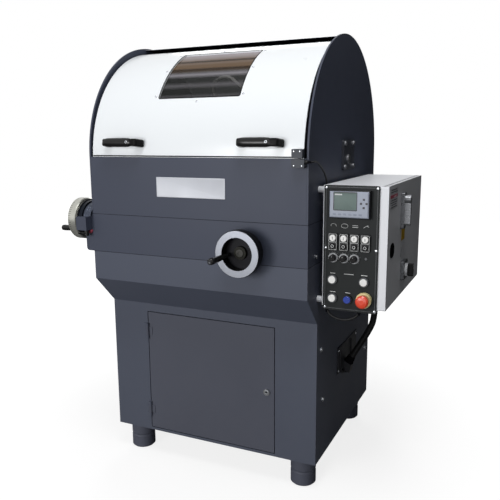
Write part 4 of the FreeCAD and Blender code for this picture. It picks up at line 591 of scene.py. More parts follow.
@dataclass(frozen=True)
class Glow(Finish):
    """A display's face: a plain tone with faint rows."""

    rows: float
    rough: float

    def fill(self, surface: Surface) -> None:
        """Set the face's shader."""
        row = surface.above(surface.sum("FRACT", surface.times(surface.along("Z"), self.rows)), 0.7)
        base = linear(self.colour)
        surface.give({"Base Color": surface.blend(row, base, shade(base, 0.86))})
        surface.give({"Roughness": self.rough, "Specular IOR Level": 0.15})


@dataclass(frozen=True)
class Zoned(Finish):
    """A tone that changes where a part stands proud of a level along an axis, or near chosen points.

    Spots are a colour, a reach, and the X and Z of the points that have them.
    """

    axis: str = "Y"
    level: float = 0.0
    proud: Optional[Colour] = None
    rough: float = 0.35
    specular: float = 0.5
    spots: tuple[tuple[Colour, float, Points], ...] = ()

    def fill(self, surface: Surface) -> None:
        """Set the shader and its zones."""
        grain = surface.grain(500.0, 12.0)
        tone: object = linear(self.colour)
        if self.proud:
            outside = surface.below(surface.along(self.axis), self.level)
            tone = surface.blend(outside, tone, linear(self.proud))
        for colour, reach, points in self.spots:
            for x, z in points:
                from_x = surface.sum("SUBTRACT", surface.along("X"), x)
                from_z = surface.sum("SUBTRACT", surface.along("Z"), z)
                square = surface.sum("MULTIPLY_ADD", from_z, from_z, surface.times(from_x, from_x))
                tone = surface.blend(surface.below(square, reach * reach), tone, linear(colour))
        rough = surface.scaled(grain["Patches"], 0.2, self.rough - 0.1)
        surface.give({"Base Color": tone, "Roughness": rough, "Specular IOR Level": self.specular})
        surface.bump(grain["Height"], 0.08, 0.0003)


# Surfaces

HEXAGON = math.pi / 3
CORNER_STEPS = 7
SHARP_DEGREES = 32
MERGE = 1e-6


def unit(way: Way) -> np.ndarray:
    """A vector, or an axis' own, at length one."""
    array = np.asarray(way.value if isinstance(way, Axis) else way, float)
    return array / np.linalg.norm(array)


@dataclass(frozen=True)
class Seat:
    """Where a small part sits: a point, the way out of the surface there, and the way up along it."""

    place: Point
    out: Way = Axis.FRONT
    up: Way = Axis.UP

    def world(self, local: np.ndarray) -> np.ndarray:
        """Turn (across, up, out) points into the model's own frame, in metres from its origin."""
        out, up = unit(self.out), unit(self.up)
        return np.asarray(self.place, float) + local @ np.stack([np.cross(up, out), up, out])


@dataclass(frozen=True)
class CurvedSeat:
    """A seat wrapped round a cylinder along X: up runs along the arc, which counts up from straight ahead."""

    across: float
    angle: float
    radius: float
    centre_y: float
    centre_z: float

    def world(self, local: np.ndarray) -> np.ndarray:
        """Wrap (across, up, out) points round the cylinder."""
        angle = math.radians(self.angle) + local[..., 1] / self.radius
        reach = self.radius + local[..., 2]
        y, z = self.centre_y - reach * np.cos(angle), self.centre_z + reach * np.sin(angle)
        return np.stack([self.across + local[..., 0], y, z], axis=-1)


def on_right(x: float, points: Points) -> list[Seat]:
    """Seats on a face to the right, at (y, z) points."""
    return [Seat((x, y, z), Axis.RIGHT) for y, z in points]


def on_front(y: float, points: Points) -> list[Seat]:
    """Seats on a face to the front, at (x, z) points."""
    return [Seat((x, y, z)) for x, z in points]


def on_top(z: float, points: Points) -> list[Seat]:
    """Seats on a level face, at (x, y) points."""
    return [Seat((x, y, z), Axis.UP, Axis.BACK) for x, y in points]


class Shape:
    """Corners and faces of one piece, gathered from grids of points."""

    def __init__(self) -> None:
        """Start with nothing."""
        self.corners: list[np.ndarray] = []
        self.faces: list[list[int]] = []
        self.total = 0

    def skin(self, rows: np.ndarray, looped: bool = False) -> "Shape":
        """Quads between neighbouring rows of points, each row closed on itself.

        Args:
            rows: Points as (row, column, 3).
            looped: The last row joins the first; otherwise both ends get a closing face.

        Returns:
            This shape.
        """
        count, width = rows.shape[:2]
        number = np.arange(count * width).reshape(count, width) + self.total
        upper = np.roll(number, -1, axis=0)
        if not looped:
            number, upper = number[:-1], upper[:-1]
        quads = np.stack([number, np.roll(number, -1, axis=1), np.roll(upper, -1, axis=1), upper], axis=-1)
        self.faces += quads.reshape(-1, 4).tolist()
        if not looped:
            self.faces += [number[0, ::-1].tolist(), upper[-1].tolist()]
        self.corners.append(rows.reshape(-1, 3))
        self.total += count * width
        return self

    def turned(self, seat: Seat, profile: Points, steps: int = 30) -> "Shape":
        """A profile turned about the seat's way out.

        The reach in a direction is the row's radius. Where flatness is 1 it is the radius times the cosine
        of 30 degrees over the cosine of the angle from the nearest flat, which makes a hexagon.

        Args:
            seat: Where the turned part stands.
            profile: Rows of radius and height, and flatness if it isn't 0.
            steps: Points round each row.

        Returns:
            This shape.
        """
        rows = np.asarray([(*row, 0.0)[:3] for row in profile], float)
        turn = np.linspace(0, math.tau, steps, endpoint=False)
        hexagon = math.cos(HEXAGON / 2) / np.cos(turn % HEXAGON - HEXAGON / 2)
        reach = rows[:, :1] * (1 + rows[:, 2:] * (hexagon - 1))
        height = np.broadcast_to(rows[:, 1:2], reach.shape)
        return self.skin(seat.world(np.stack([reach * np.cos(turn), reach * np.sin(turn), height], axis=-1)))

    def plate(self, seat: object, width: float, height: float, corner: float, profile: Points) -> "Shape":
        """A rounded rectangle, drawn in by each row's inset at that row's height.

        Args:
            seat: Where its middle stands.
            width: Size across.
            height: Size up.
            corner: Corner radius.
            profile: Rows of inset and height.

        Returns:
            This shape.
        """
        rows = np.asarray(profile, float)
        quarter = np.repeat(np.arange(4), CORNER_STEPS)
        turn = (quarter + np.tile(np.linspace(0, 1, CORNER_STEPS), 4)) * math.pi / 2
        side_x = np.asarray([1, -1, -1, 1])[quarter]
        side_y = np.asarray([1, 1, -1, -1])[quarter]
        inset = rows[:, :1]
        radius = np.maximum(corner - inset, 0.0001)
        across = side_x * (width / 2 - inset - radius) + radius * np.cos(turn)
        up = side_y * (height / 2 - inset - radius) + radius * np.sin(turn)
        out = np.broadcast_to(rows[:, 1:2], across.shape)
        return self.skin(seat.world(np.stack([across, up, out], axis=-1)))

    def strip(
        self, seat: object, path: Points, width: float, rise: float = 0.0004, closed: bool = False
    ) -> "Shape":
        """A raised line with sloped edges along a path on the seat's face.

        Each point steps sideways along the line between its two neighbours' normals, lengthened at a corner
        so that the line keeps its width.

        Args:
            seat: The face that carries the line.
            path: Points across and up.
            width: The line's width.
            rise: Its height.
            closed: The path returns to its start.

        Returns:
            This shape.
        """
        line = np.asarray(path, float)
        ahead = np.roll(line, -1, axis=0) - line
        behind = np.roll(ahead, 1, axis=0)
        if not closed:
            ahead[-1] = behind[-1]
            behind[0] = ahead[0]
        ahead /= np.linalg.norm(ahead, axis=1, keepdims=True)
        behind /= np.linalg.norm(behind, axis=1, keepdims=True)
        middle = ahead + behind
        middle /= np.linalg.norm(middle, axis=1, keepdims=True)
        lengthen = 1 / np.maximum((middle * ahead).sum(axis=1), 0.5)
        side = np.stack([-middle[:, 1], middle[:, 0]], axis=1) * lengthen[:, None]
        offset = np.asarray([-0.5, -0.4, 0.4, 0.5]) * width
        height = np.broadcast_to(np.asarray([0, rise, rise, 0]), (len(line), 4))
        flat = line[:, None] + side[:, None] * offset[None, :, None]
        return self.skin(seat.world(np.concatenate([flat, height[..., None]], axis=-1)), closed)

    def tube(self, path: np.ndarray, radii: np.ndarray, steps: int = 14) -> "Shape":
        """A round skin along a path, each ring square to it.

        The first ring's direction is carried from ring to ring, less its share along the path, so the skin
        doesn't twist.

        Args:
            path: Points in metres.
            radii: One radius for each point.
            steps: Points round each ring.

        Returns:
            This shape.
        """
        ahead = np.gradient(path, axis=0)
        ahead /= np.linalg.norm(ahead, axis=1, keepdims=True)
        start = unit(np.cross(ahead[0], (0.31, 0.87, 0.38)))
        carried = []
        for way in ahead:
            start = unit(start - way * float(start @ way))
            carried.append(start)
        first = np.asarray(carried)
        second = np.cross(ahead, first)
        turn = np.linspace(0, math.tau, steps, endpoint=False)[None, :, None]
        ring = np.cos(turn) * first[:, None] + np.sin(turn) * second[:, None]
        return self.skin(path[:, None] + ring * np.asarray(radii)[:, None, None])

    def socket_screw(self, seat: Seat, radius: float, height: float) -> "Shape":
        """A cap screw: a chamfered head with a hexagon socket."""
        profile = [(radius, 0), (radius, height * 0.8), (radius * 0.88, height), (radius * 0.62, height)]
        profile += [(radius * 0.56, height, 1), (radius * 0.54, height * 0.35, 1)]
        profile += [(radius * 0.1, height * 0.3, 1)]
        return self.turned(seat, profile)

    def hexagon_bolt(self, seat: Seat, radius: float, height: float) -> "Shape":
        """A hexagon head on its washer."""
        washer = height * 0.2
        profile = [(radius * 1.25, 0), (radius * 1.25, washer), (radius * 1.02, washer), (radius, washer, 1)]
        profile += [(radius, height * 0.92, 1), (radius * 0.84, height), (radius * 0.1, height)]
        return self.turned(seat, profile)

    def pan_screw(self, seat: Seat, radius: float, height: float) -> "Shape":
        """A low domed head with a shallow dimple."""
        lift = np.linspace(0, math.pi / 2, 6)
        dome = [(radius * math.cos(turn * 0.8), height * (0.25 + 0.75 * math.sin(turn))) for turn in lift]
        dimple = [(radius * 0.28, height * 0.6), (radius * 0.05, height * 0.55)]
        return self.turned(seat, [(radius, 0), *dome, *dimple], 18)

    def show(self, name: str, finish: str, slot: str, body: str = "machine") -> bpy.types.Object:
        """Make the piece and let it ride.

        Args:
            name: The piece's name.
            finish: Its finish.
            slot: Not used.
            body: The body it moves with.

        Returns:
            The object, at the origin with its place in its mesh.
        """
        mesh = bpy.data.meshes.new(name)
        mesh.from_pydata(np.concatenate(self.corners).tolist(), [], self.faces)
        work = bmesh.new()
        work.from_mesh(mesh)
        bmesh.ops.remove_doubles(work, verts=work.verts, dist=MERGE)
        bmesh.ops.recalc_face_normals(work, faces=work.faces)
        work.to_mesh(mesh)
        work.free()
        mesh.polygons.foreach_set("use_smooth", np.ones(len(mesh.polygons), bool))
        mesh.set_sharp_from_angle(angle=math.radians(SHARP_DEGREES))
        mesh.materials.append(FINISHES[finish])
        piece = bpy.data.objects.new(name, mesh)
        bpy.context.scene.collection.objects.link(piece)
        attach(piece, body)
        log.info("%s: %d faces on %s", name, len(mesh.polygons), body)
        return piece


def fasten(name: str, head: Callable, size: Point, seats: Sequence[Seat], *ride: str) -> None:
    """Put the same screw head on every seat.

    Args:
        name: The piece's name.
        head: The way of Shape that makes the head.
        size: The head's radius and height.
        seats: Where the heads stand.
        ride: Finish, slot, and the body if it isn't the machine.
    """
    heads = Shape()
    for seat in seats:
        head(heads, seat, *size)
    heads.show(name, *ride)


def arc(x: float, y: float, radius: float, low: float, high: float, steps: int = 20) -> np.ndarray:
    """Points of a circular arc between two angles in degrees."""
    turn = np.radians(np.linspace(low, high, steps))
    return np.stack([x + radius * np.cos(turn), y + radius * np.sin(turn)], axis=1)


def rectangle(width: float, height: float, corner: float) -> np.ndarray:
    """Points of a rounded rectangle, for a closed line."""
    sides = ((1, 1), (-1, 1), (-1, -1), (1, -1))
    quarters = [
        arc(a * (width / 2 - corner), b * (height / 2 - corner), corner, 90 * n, 90 * n + 90, 6)
        for n, (a, b) in enumerate(sides)
    ]
    return np.concatenate(quarters)


def level_line(width: float) -> Points:
    """A level line about a seat's middle."""
    return [(-width / 2, 0), (width / 2, 0)]


def tube_path(points: np.ndarray) -> np.ndarray:
    """Points along the smooth spline that a route's points control.

    Args:
        points: The route's points in metres.

    Returns:
        The spline's own points, from the route's first to its last.
    """
    curve = bpy.data.curves.new("route", "CURVE")
    curve.dimensions = "3D"
    curve.resolution_u = 12
    spline = curve.splines.new("NURBS")
    spline.points.add(len(points) - 1)
    for control, point in zip(spline.points, points):
        control.co = (*point, 1)
    spline.order_u = 3
    spline.use_endpoint_u = True
    holder = bpy.data.objects.new("route", curve)
    mesh = bpy.data.meshes.new_from_object(holder)
    found = np.asarray([corner.co for corner in mesh.vertices])
    bpy.data.objects.remove(holder)
    bpy.data.curves.remove(curve)
    bpy.data.meshes.remove(mesh)
    return found


# Finishes

WHITE = (239, 243, 246)
PALE = (237, 239, 244)
HOOD_PAINT = {"rough": 0.3, "coat": 0.2, "peel": 0.06, "patches": 0.012, "specular": 0.4}
BUTTON_RING = (84, 86, 90)
KNOB_RING = (168, 170, 174)
DARK_RING = (16, 17, 18)
STOP_RING = (234, 222, 164)

FINISHES: dict[str, bpy.types.Material] = {
    finish.name: finish.build()
    for finish in (
        Paint("body_grey", (76, 81, 95), rough=0.52, patches=0.05, dust=0.05),
        # Painted shade: a darker copy of the body's grey for the bed, front panel and side panels, partly the
        # cast bed's own tone.
        Paint("bed_grey_with_painted_shade", (62, 67, 82), rough=0.52, patches=0.05),
        Paint("door_grey", (77, 80, 92), rough=0.52, patches=0.06, dust=0.05),
        Paint("hood_white", WHITE, **HOOD_PAINT),
        # The shell is near-black inside the given radius.
        Paint("shell_white", WHITE, **HOOD_PAINT, dark_inside=(Place.DOME_Y, Place.HOOD_LOW, 0.4015, 0.06)),
        Paint("cabinet_pale", PALE, rough=0.45, patches=0.02),
        Paint("motor_blue", (52, 84, 108), rough=0.4, peel=0.15, specular=0.5),
        Paint("port_grey", (40, 41, 46), rough=0.5, peel=0.12),
        Plastic("foot_rubber", (82, 85, 98), rough=0.6, texture=0.2, scale=500, specular=0.3),
        Plastic("black_grip", (9, 9, 10), rough=0.24, specular=0.3),
        Plastic("handle_black", (9, 9, 10), rough=0.2, texture=0.0, scale=700, specular=0.08),
        Plastic("panel_black", (33, 36, 37), rough=0.5, texture=0.06, specular=0.15),
        Plastic("button_white", (252, 252, 250), rough=0.3, texture=0.03),
        Plastic("button_black", (14, 14, 16), rough=0.3, texture=0.04, specular=0.12),
        Plastic("button_blue", (28, 62, 168), rough=0.25, texture=0.04, coat=0.4),
        Plastic("stop_red", (238, 74, 44), rough=0.3, texture=0.04, coat=0.2),
        Plastic("fitting_grey", (108, 110, 114), rough=0.45),
        Plastic("switch_dark", (54, 58, 66), rough=0.5, specular=0.3),
        Plastic("cable_black", (17, 17, 19), rough=0.45, texture=0.05, specular=0.3),
        Plastic("print_white", (224, 226, 226), rough=0.5, texture=0.02, specular=0.2),
        Plastic("key_dark", (44, 42, 50), rough=0.4, texture=0.04),
        Plastic("key_pale", (134, 142, 160), rough=0.4, texture=0.04),
        Plastic("plate_blank", (216, 219, 227), texture=0.02, specular=0.3),
        Plastic("label_tone", (184, 185, 190), rough=0.45, texture=0.02, specular=0.3),
        Plastic("label_yellow", (196, 158, 26), rough=0.45, texture=0.02, specular=0.3),
        Plastic("seal_rubber", (12, 12, 17), rough=0.9, scale=600, specular=0.0),
        Plastic("seam_shade", (34, 36, 44), rough=0.7, texture=0.05, scale=600, specular=0.1),
        Plastic("red_cap", (158, 62, 80), rough=0.45, texture=0.05, specular=0.3),
        Metal("ground_steel", (178, 180, 184), rough=0.32),
        Metal("polished_steel", (206, 208, 212), rough=0.16, depth=0.06, lines=200),
        Metal("satin_steel", (72, 78, 92), rough=0.28, metallic=0.7, depth=0.1, lines=70),
        Metal("zinc", (202, 205, 210), rough=0.25, depth=0.05, lines=240),
        Metal("hub_brown", (46, 45, 40), rough=0.5, metallic=0.1),
        Metal("dark_knob", (60, 61, 64), rough=0.26, metallic=0.8, depth=0.05),
        Metal("stainless", (176, 179, 184), rough=0.34, lines=90),
        Metal("pipe_grey", (116, 115, 114), rough=0.45, metallic=0.3, depth=0.05),
        Metal("swing_handle", (150, 152, 156), rough=0.28, metallic=0.7),
        # Painted reflection: the door plate's chrome made dark, as if it gave back dark surroundings.
        Metal("plate_steel", (116, 118, 122), rough=0.28, metallic=0.8),
        Cast("bare_casting", (98, 101, 106)),
        Grit("abrasive_pink", (196, 122, 112)),
        # Above its dark tint, the window's tones are painted light and shade of the hood's inside.
        Pane(
            "window_tint",
            (46, 47, 46),
            painted_brown=(106, 86, 66),
            painted_pale=(190, 186, 194),
            clearness=0.5,
            painted_bands=((1.345, 0.008, 0.12), (1.381, 0.012, 0.20), (1.419, 0.013, 0.48), (1.460, 0.008, 0.10)),
            painted_dark_lines=((1.437, 0.008), (1.467, 0.006)),
        ),
        Glow("screen_glass", (112, 128, 124), rows=300, rough=0.45),
        Dial(
            "front_dial",
            (14, 14, 15),
            centre=(0.198, -0.4643, 0.855),
            turn=(math.radians(90), 0, 0),
            drum=(11, 11, 12),
        ),
        Dial(
            "left_dial",
            (186, 186, 178),
            centre=(-0.4393, -0.405, 0.922),
            turn=(0, math.radians(-90), 0),
            drum=(30, 34, 42),
            bright_rim=True,
        ),
        Capped("pivot_dark", (44, 47, 55), level=0.4145),
        Zoned("display_case", (28, 29, 32), level=-0.3880, proud=(156, 163, 178), specular=0.3),
        # Painted shade: the door's face takes a darker copy of the cabinet's pale paint; only its front edge
        # keeps the paint's own tone.
        Zoned("door_pale", (204, 206, 211), level=-0.3640, proud=PALE, rough=0.45, specular=0.3),
        Zoned("isolator_tones", (18, 18, 20), "X", 0.6500, proud=(206, 208, 212), specular=0.2),
        Zoned(
            "control_rings",
            (24, 26, 28),
            specular=0.3,
            spots=(
                (BUTTON_RING, 0.0165, ((0.4615, 0.7688), (0.5620, 0.7680), (0.4620, 0.7090))),
                (DARK_RING, 0.0165, ((0.5110, 0.7082),)),
                (KNOB_RING, 0.0155, ((0.4625, 0.8389), (0.4970, 0.8389), (0.5300, 0.8389))),
                (STOP_RING, 0.0260, ((0.5641, 0.7118),)),
            ),
        ),
    )
}


def numbered(name: str, count: int) -> list[str]:
    """The names of a row of like parts."""
    return [f"{name}_{number}" for number in range(1, count + 1)]


NODE_FINISHES: dict[str, Sequence[str]] = {
    "body_grey": ("pedestal", "work_head"),
    "bed_grey_with_painted_shade": ("bed_casting", "front_panel", "side_panel_left", "side_panel_right"),
    "door_grey": ("storage_door",),
    "hood_white": ("hood_cover",),
    "shell_white": ("rear_shell",),
    "cabinet_pale": ("control_cabinet",),
    "door_pale": ("cabinet_door",),
    "motor_blue": ("grinding_motor",),
    "port_grey": ("hose_port",),
    "foot_rubber": ("feet",),
    "black_grip": ("front_grip", "left_grip", "clamp_lever"),
    "handle_black": ("hood_handles",),
    "isolator_tones": ("main_switch",),
    "panel_black": ("panel_plate",),
    "button_white": (*numbered("start_button", 4), "feed_button", "spindle_button", "coolant_button"),
    "button_black": (*numbered("stop_button", 4), *numbered("speed_knob", 3)),
    "button_blue": ("reset_button",),
    "stop_red": ("emergency_stop",),
    "fitting_grey": ("switchgear",),
    "switch_dark": ("interlock_switch", "interlock_actuator"),
    "ground_steel": (
        "front_feed_screw",
        "left_feed_screw",
        "work_spindle",
        "grinding_spindle",
        "hood_pivots",
    ),
    "polished_steel": ("cam_lock",),
    "plate_steel": ("door_fittings",),
    "stainless": ("coolant_tank",),
    "pipe_grey": ("coolant_pipe",),
    "swing_handle": ("door_handle",),
    "bare_casting": ("work_slide", "grinding_slide"),
    "abrasive_pink": ("cup_wheel",),
    "window_tint": ("window_pane",),
    "front_dial": ("front_handwheel",),
    "left_dial": ("left_handwheel",),
    "pivot_dark": ("pivot_flanges",),
    "display_case": ("display_housing",),
    "control_rings": ("button_bezels",),
}


# The machine

BOLT_HEAD = (0.0065, 0.005)


@dataclass(frozen=True)
class Base:
    """Pedestal, storage door and side fitting: their screws and the lock's ring."""

    bolt: Point = (0.0075, 0.005)
    side_bolts: Points = ((-0.308, 0.507), (-0.283, 0.320), (0.290, 0.320), (0.290, 0.507))
    port_face: float = 0.410
    port_screw: Point = (0.0045, 0.0022)
    port_screws: Points = ((-0.106, 0.435), (-0.106, 0.358), (0.127, 0.434), (0.127, 0.358))
    lock: Point = (0.2265, -0.3555, 0.341)
    ring: Points = ((0.0035, 0), (0.0035, 0.0006), (0.0070, 0.0009), (0.0078, 0.0004), (0.0078, 0))

    def build(self) -> None:
        """Make the pedestal's small parts."""
        bolts = []
        for y, z in self.side_bolts:
            bolts += [Seat((Place.SIDE, y, z), Axis.RIGHT), Seat((-Place.SIDE, y, z), Axis.LEFT)]
        fasten("pedestal_bolts", Shape.hexagon_bolt, self.bolt, bolts, "zinc", "machined_steel")
        port = on_right(self.port_face, self.port_screws)
        fasten("port_screws", Shape.pan_screw, self.port_screw, port, "zinc", "machined_steel")
        Shape().turned(Seat(self.lock), self.ring).show("lock_bezel", "zinc", "bright_steel", "store_lock")


@dataclass(frozen=True)
class Bed:
    """Bed casting and the front panel above it: seams, blank plate, dial guard, plug and bolts.

    The guard is an arch over the left dial's screw: its profile's places along the screw and their reach from
    it, between two angles in degrees.
    """

    seam: Point = (0.0016, 0.0003)
    plate: Point = (-0.0025, 1.049)
    plate_size: Point = (0.257, 0.066, 0.002)
    plate_edge: Points = ((0, 0), (0, 0.0012), (0.0008, 0.0018), (0.003, 0.0018), (0.0034, 0.0015))
    screw: Point = (-0.405, 0.922)
    guard_angles: Point = (15, 165)
    guard: Points = (
        (0.4388, 0.0580),
        (0.4388, 0.0600),
        (0.4300, 0.0600),
        (0.4280, 0.0588),
        (0.4262, 0.0600),
        (0.4200, 0.0600),
        (0.4180, 0.0588),
        (0.4162, 0.0600),
        (0.4062, 0.0600),
        (0.4062, 0.0580),
    )
    plug: Point = (-0.417, 0.884)
    plug_profile: Points = ((0.009, 0), (0.009, 0.003), (0.0075, 0.006), (0.004, 0.0075), (0.001, 0.0078))
    right_bolts: Points = ((-0.375, 0.838), (0.330, 0.838), (0.330, 0.922), (-0.02, 0.838))
    left_bolts: Points = ((-0.33, 0.838), (0.33, 0.838))

    def build(self) -> None:
        """Make the bed's small parts."""
        front, side, back = Place.FRONT, Place.SIDE, Place.BACK
        seam = Shape()
        for z in (Place.BED_HIGH, Place.BED_LOW):
            seam.strip(Seat((0, front, z)), [(-side, 0), (side, 0)], *self.seam)
            seam.strip(Seat((side, 0, z), Axis.RIGHT), [(front, 0), (back, 0)], *self.seam)
            seam.strip(Seat((-side, 0, z), Axis.LEFT), [(-back, 0), (-front, 0)], *self.seam)
        seam.show("bed_seam", "seam_shade", "panel_black")
        plate, plug = (on_front(front, [place])[0] for place in (self.plate, self.plug))
        blank = Shape().plate(plate, *self.plate_size, self.plate_edge)
        blank.show("front_plate", "plate_blank", "white_plastic")
        y, z = self.screw
        turn = np.linspace(*np.radians(self.guard_angles), 49)[:, None]
        along, reach = np.asarray(self.guard).T[:, None]
        arch = np.stack([-along + turn * 0, y - reach * np.cos(turn), z + reach * np.sin(turn)], axis=-1)
        Shape().skin(arch).show("dial_guard", "satin_steel", "bright_steel")
        Shape().turned(plug, self.plug_profile).show("oil_plug", "red_cap", "red_plastic")
        bolts = on_right(side, self.right_bolts)
        bolts += [Seat((-side, y, z), Axis.LEFT) for y, z in self.left_bolts]
        fasten("bed_bolts", Shape.socket_screw, BOLT_HEAD, bolts, "zinc", "machined_steel")


@dataclass(frozen=True)
class Handwheel:
    """The small parts of one feed wheel: its hub's screw and its grip's end.

    The grip's angle is in degrees from the first of two axes towards the second.
    """

    name: str
    feed: str
    centre: Point
    out: Axis
    axes: tuple[Axis, Axis]
    angle: float
    grip_stand: float
    hub_stand: float = 0.032
    grip_reach: float = 0.042
    hub: Points = (
        (0.0135, 0),
        (0.0135, 0.001),
        (0.0120, 0.0026),
        (0.0075, 0.0026),
        (0.0070, 0.0026, 1),
        (0.0068, 0.0008, 1),
        (0.0010, 0.0006, 1),
    )
    end: Points = ((0.0052, 0), (0.0052, 0.0002), (0.0046, 0.0007), (0.0030, 0.0007), (0.0008, 0.0002))

    def build(self) -> None:
        """Make this wheel's small parts."""
        centre, out = np.asarray(self.centre), unit(self.out)
        hub = Shape().turned(Seat(centre + out * self.hub_stand, self.out), self.hub, 36)
        hub.show(f"{self.name}_hub_screw", "hub_brown", "machined_steel", f"{self.feed}_wheel")
        first, second = (unit(axis) for axis in self.axes)
        angle = math.radians(self.angle)
        way = first * math.cos(angle) + second * math.sin(angle)
        grip = centre + out * self.grip_stand + way * self.grip_reach
        end = Shape().turned(Seat(grip, self.out), self.end, 24)
        end.show(f"{self.name}_grip_end", "dark_knob", "machined_steel", f"{self.feed}_grip")


@dataclass(frozen=True)
class Hood:
    """Hood cover, window and handles: gasket, screws, seals, and the handles' oval sleeves.

    Angles are in degrees up from straight ahead, about the hood's pivots.
    """

    window: Point = (-0.148, 0.152)
    angles: Point = (31.5, 67.0)
    gasket_gap: float = 0.003
    screw: Point = (0.0042, 0.0022)
    half: float = 0.388
    edge_angle: float = 2.6
    seal_angle: float = 83.3
    handle_angle: float = 8.4
    handle_centres: Point = (-0.252, 0.252)
    sleeve_stand: float = 0.0345
    sleeve_size: Point = (0.0150, 0.0105)
    sleeve: Points = (
        (-0.0650, 0.04),
        (-0.0650, 0.70),
        (-0.0600, 0.86),
        (-0.0520, 0.96),
        (-0.0420, 1.00),
        (0.0240, 1.00),
        (0.0340, 0.96),
        (0.0420, 0.86),
        (0.0470, 0.70),
        (0.0470, 0.04),
    )
    handle_screw: Point = (0.0046, 0.0026)
    handle_screw_place: Point = (0.0325, 0.0435)

    def seat(self, across: float, angle: float) -> CurvedSeat:
        """A seat on the cover's outer face."""
        return CurvedSeat(across, angle, Place.COVER_RADIUS, Place.PIVOT_Y, Place.PIVOT_Z)

    def flat_seat(self, across: float, angle: float, stand: float = 0.0) -> Seat:
        """A flat seat that touches the cover's outer face, or stands off it."""
        cosine, sine = math.cos(math.radians(angle)), math.sin(math.radians(angle))
        radius = Place.COVER_RADIUS + stand
        place = (across, Place.PIVOT_Y - radius * cosine, Place.PIVOT_Z + radius * sine)
        return Seat(place, (0, -cosine, sine), (0, sine, cosine))

    def build(self) -> None:
        """Make the hood's small parts."""
        left, right = self.window
        low, high = self.angles
        middle, tilt = (left + right) / 2, (low + high) / 2
        length = math.radians(high - low) * Place.COVER_RADIUS
        outline = rectangle(right - left + self.gasket_gap, length + self.gasket_gap, 0.006)
        gasket = Shape().strip(self.seat(middle, tilt), self.divided(outline), 0.0035, 0.0008, True)
        gasket.show("window_gasket", "seal_rubber", "panel_black", "hood")
        places = (
            (left - 0.014, low + 1),
            (middle, low - 2.4),
            (right + 0.012, low + 1),
            (left - 0.014, tilt),
            (right + 0.012, tilt),
            (left - 0.014, high - 1),
            (right + 0.012, high - 1),
            (middle, high + 2.2),
        )
        seats = [self.flat_seat(*place) for place in places]
        fasten("window_screws", Shape.pan_screw, self.screw, seats, "zinc", "bright_steel", "hood")
        line = self.divided(level_line(2 * self.half))
        for name, angle, size in (
            ("cover_edge", self.edge_angle, (0.004, 0.0008)),
            ("cover_top_seal", self.seal_angle, (0.007, 0.0012)),
        ):
            Shape().strip(self.seat(0, angle), line, *size).show(name, "seal_rubber", "panel_black", "hood")
        self.handles()

    def handles(self) -> None:
        """Make the handles' sleeves and screws."""
        length, swell = np.asarray(self.sleeve).T[..., None]
        up, out = self.sleeve_size
        turn = np.linspace(0, math.tau, 40, endpoint=False)[None, :]
        oval = np.stack([length + turn * 0, up * swell * np.sin(turn), out * swell * np.cos(turn)], axis=-1)
        sleeves = Shape()
        for centre in self.handle_centres:
            sleeves.skin(self.flat_seat(centre, self.handle_angle, self.sleeve_stand).world(oval))
        sleeves.show("handle_sleeves", "black_grip", "black_plastic", "hood")
        across, stand = self.handle_screw_place
        seats = [self.flat_seat(centre + across, self.handle_angle, stand) for centre in self.handle_centres]
        size = self.handle_screw
        fasten("handle_screws", Shape.socket_screw, size, seats, "stainless", "machined_steel", "hood")

    @staticmethod
    def divided(path: Points) -> np.ndarray:
        """The path with extra points, so that a line keeps to the cover's curve."""
        line = np.asarray(path, float)
        share = np.linspace(0, 1, 9, endpoint=False)[:, None]
        pieces = [start + (end - start) * share for start, end in zip(line, np.roll(line, -1, axis=0))]
        if len(line) == 2:
            return np.concatenate([pieces[0], line[1:]])
        return np.concatenate(pieces)


@dataclass(frozen=True)
class Interlock:
    """The hood's safety switch: the screws of both halves and the cable's entry."""

    face: float = -0.472
    screw: Point = (0.0028, 0.0014)
    fixed: Points = ((0.3665, 1.1265), (0.3915, 1.1265))
    moving: Points = ((0.3665, 1.1690), (0.3855, 1.1690))
    outlet: Point = (0.399, -0.461, 1.13733)
    gland: Points = ((0.0065, 0), (0.0065, 0.003), (0.0058, 0.004), (0.0044, 0.0075), (0.0036, 0.0075))

    def build(self) -> None:
        """Make the switch's small parts."""
        for name, places, body in (("switch", self.fixed, "machine"), ("actuator", self.moving, "hood")):
            seats = on_front(self.face, places)
            fasten(f"{name}_screws", Shape.pan_screw, self.screw, seats, "zinc", "machined_steel", body)
        gland = Shape().turned(Seat(self.outlet, Axis.RIGHT), self.gland, 20)
        gland.show("switch_gland", "cable_black", "conduit_plastic")


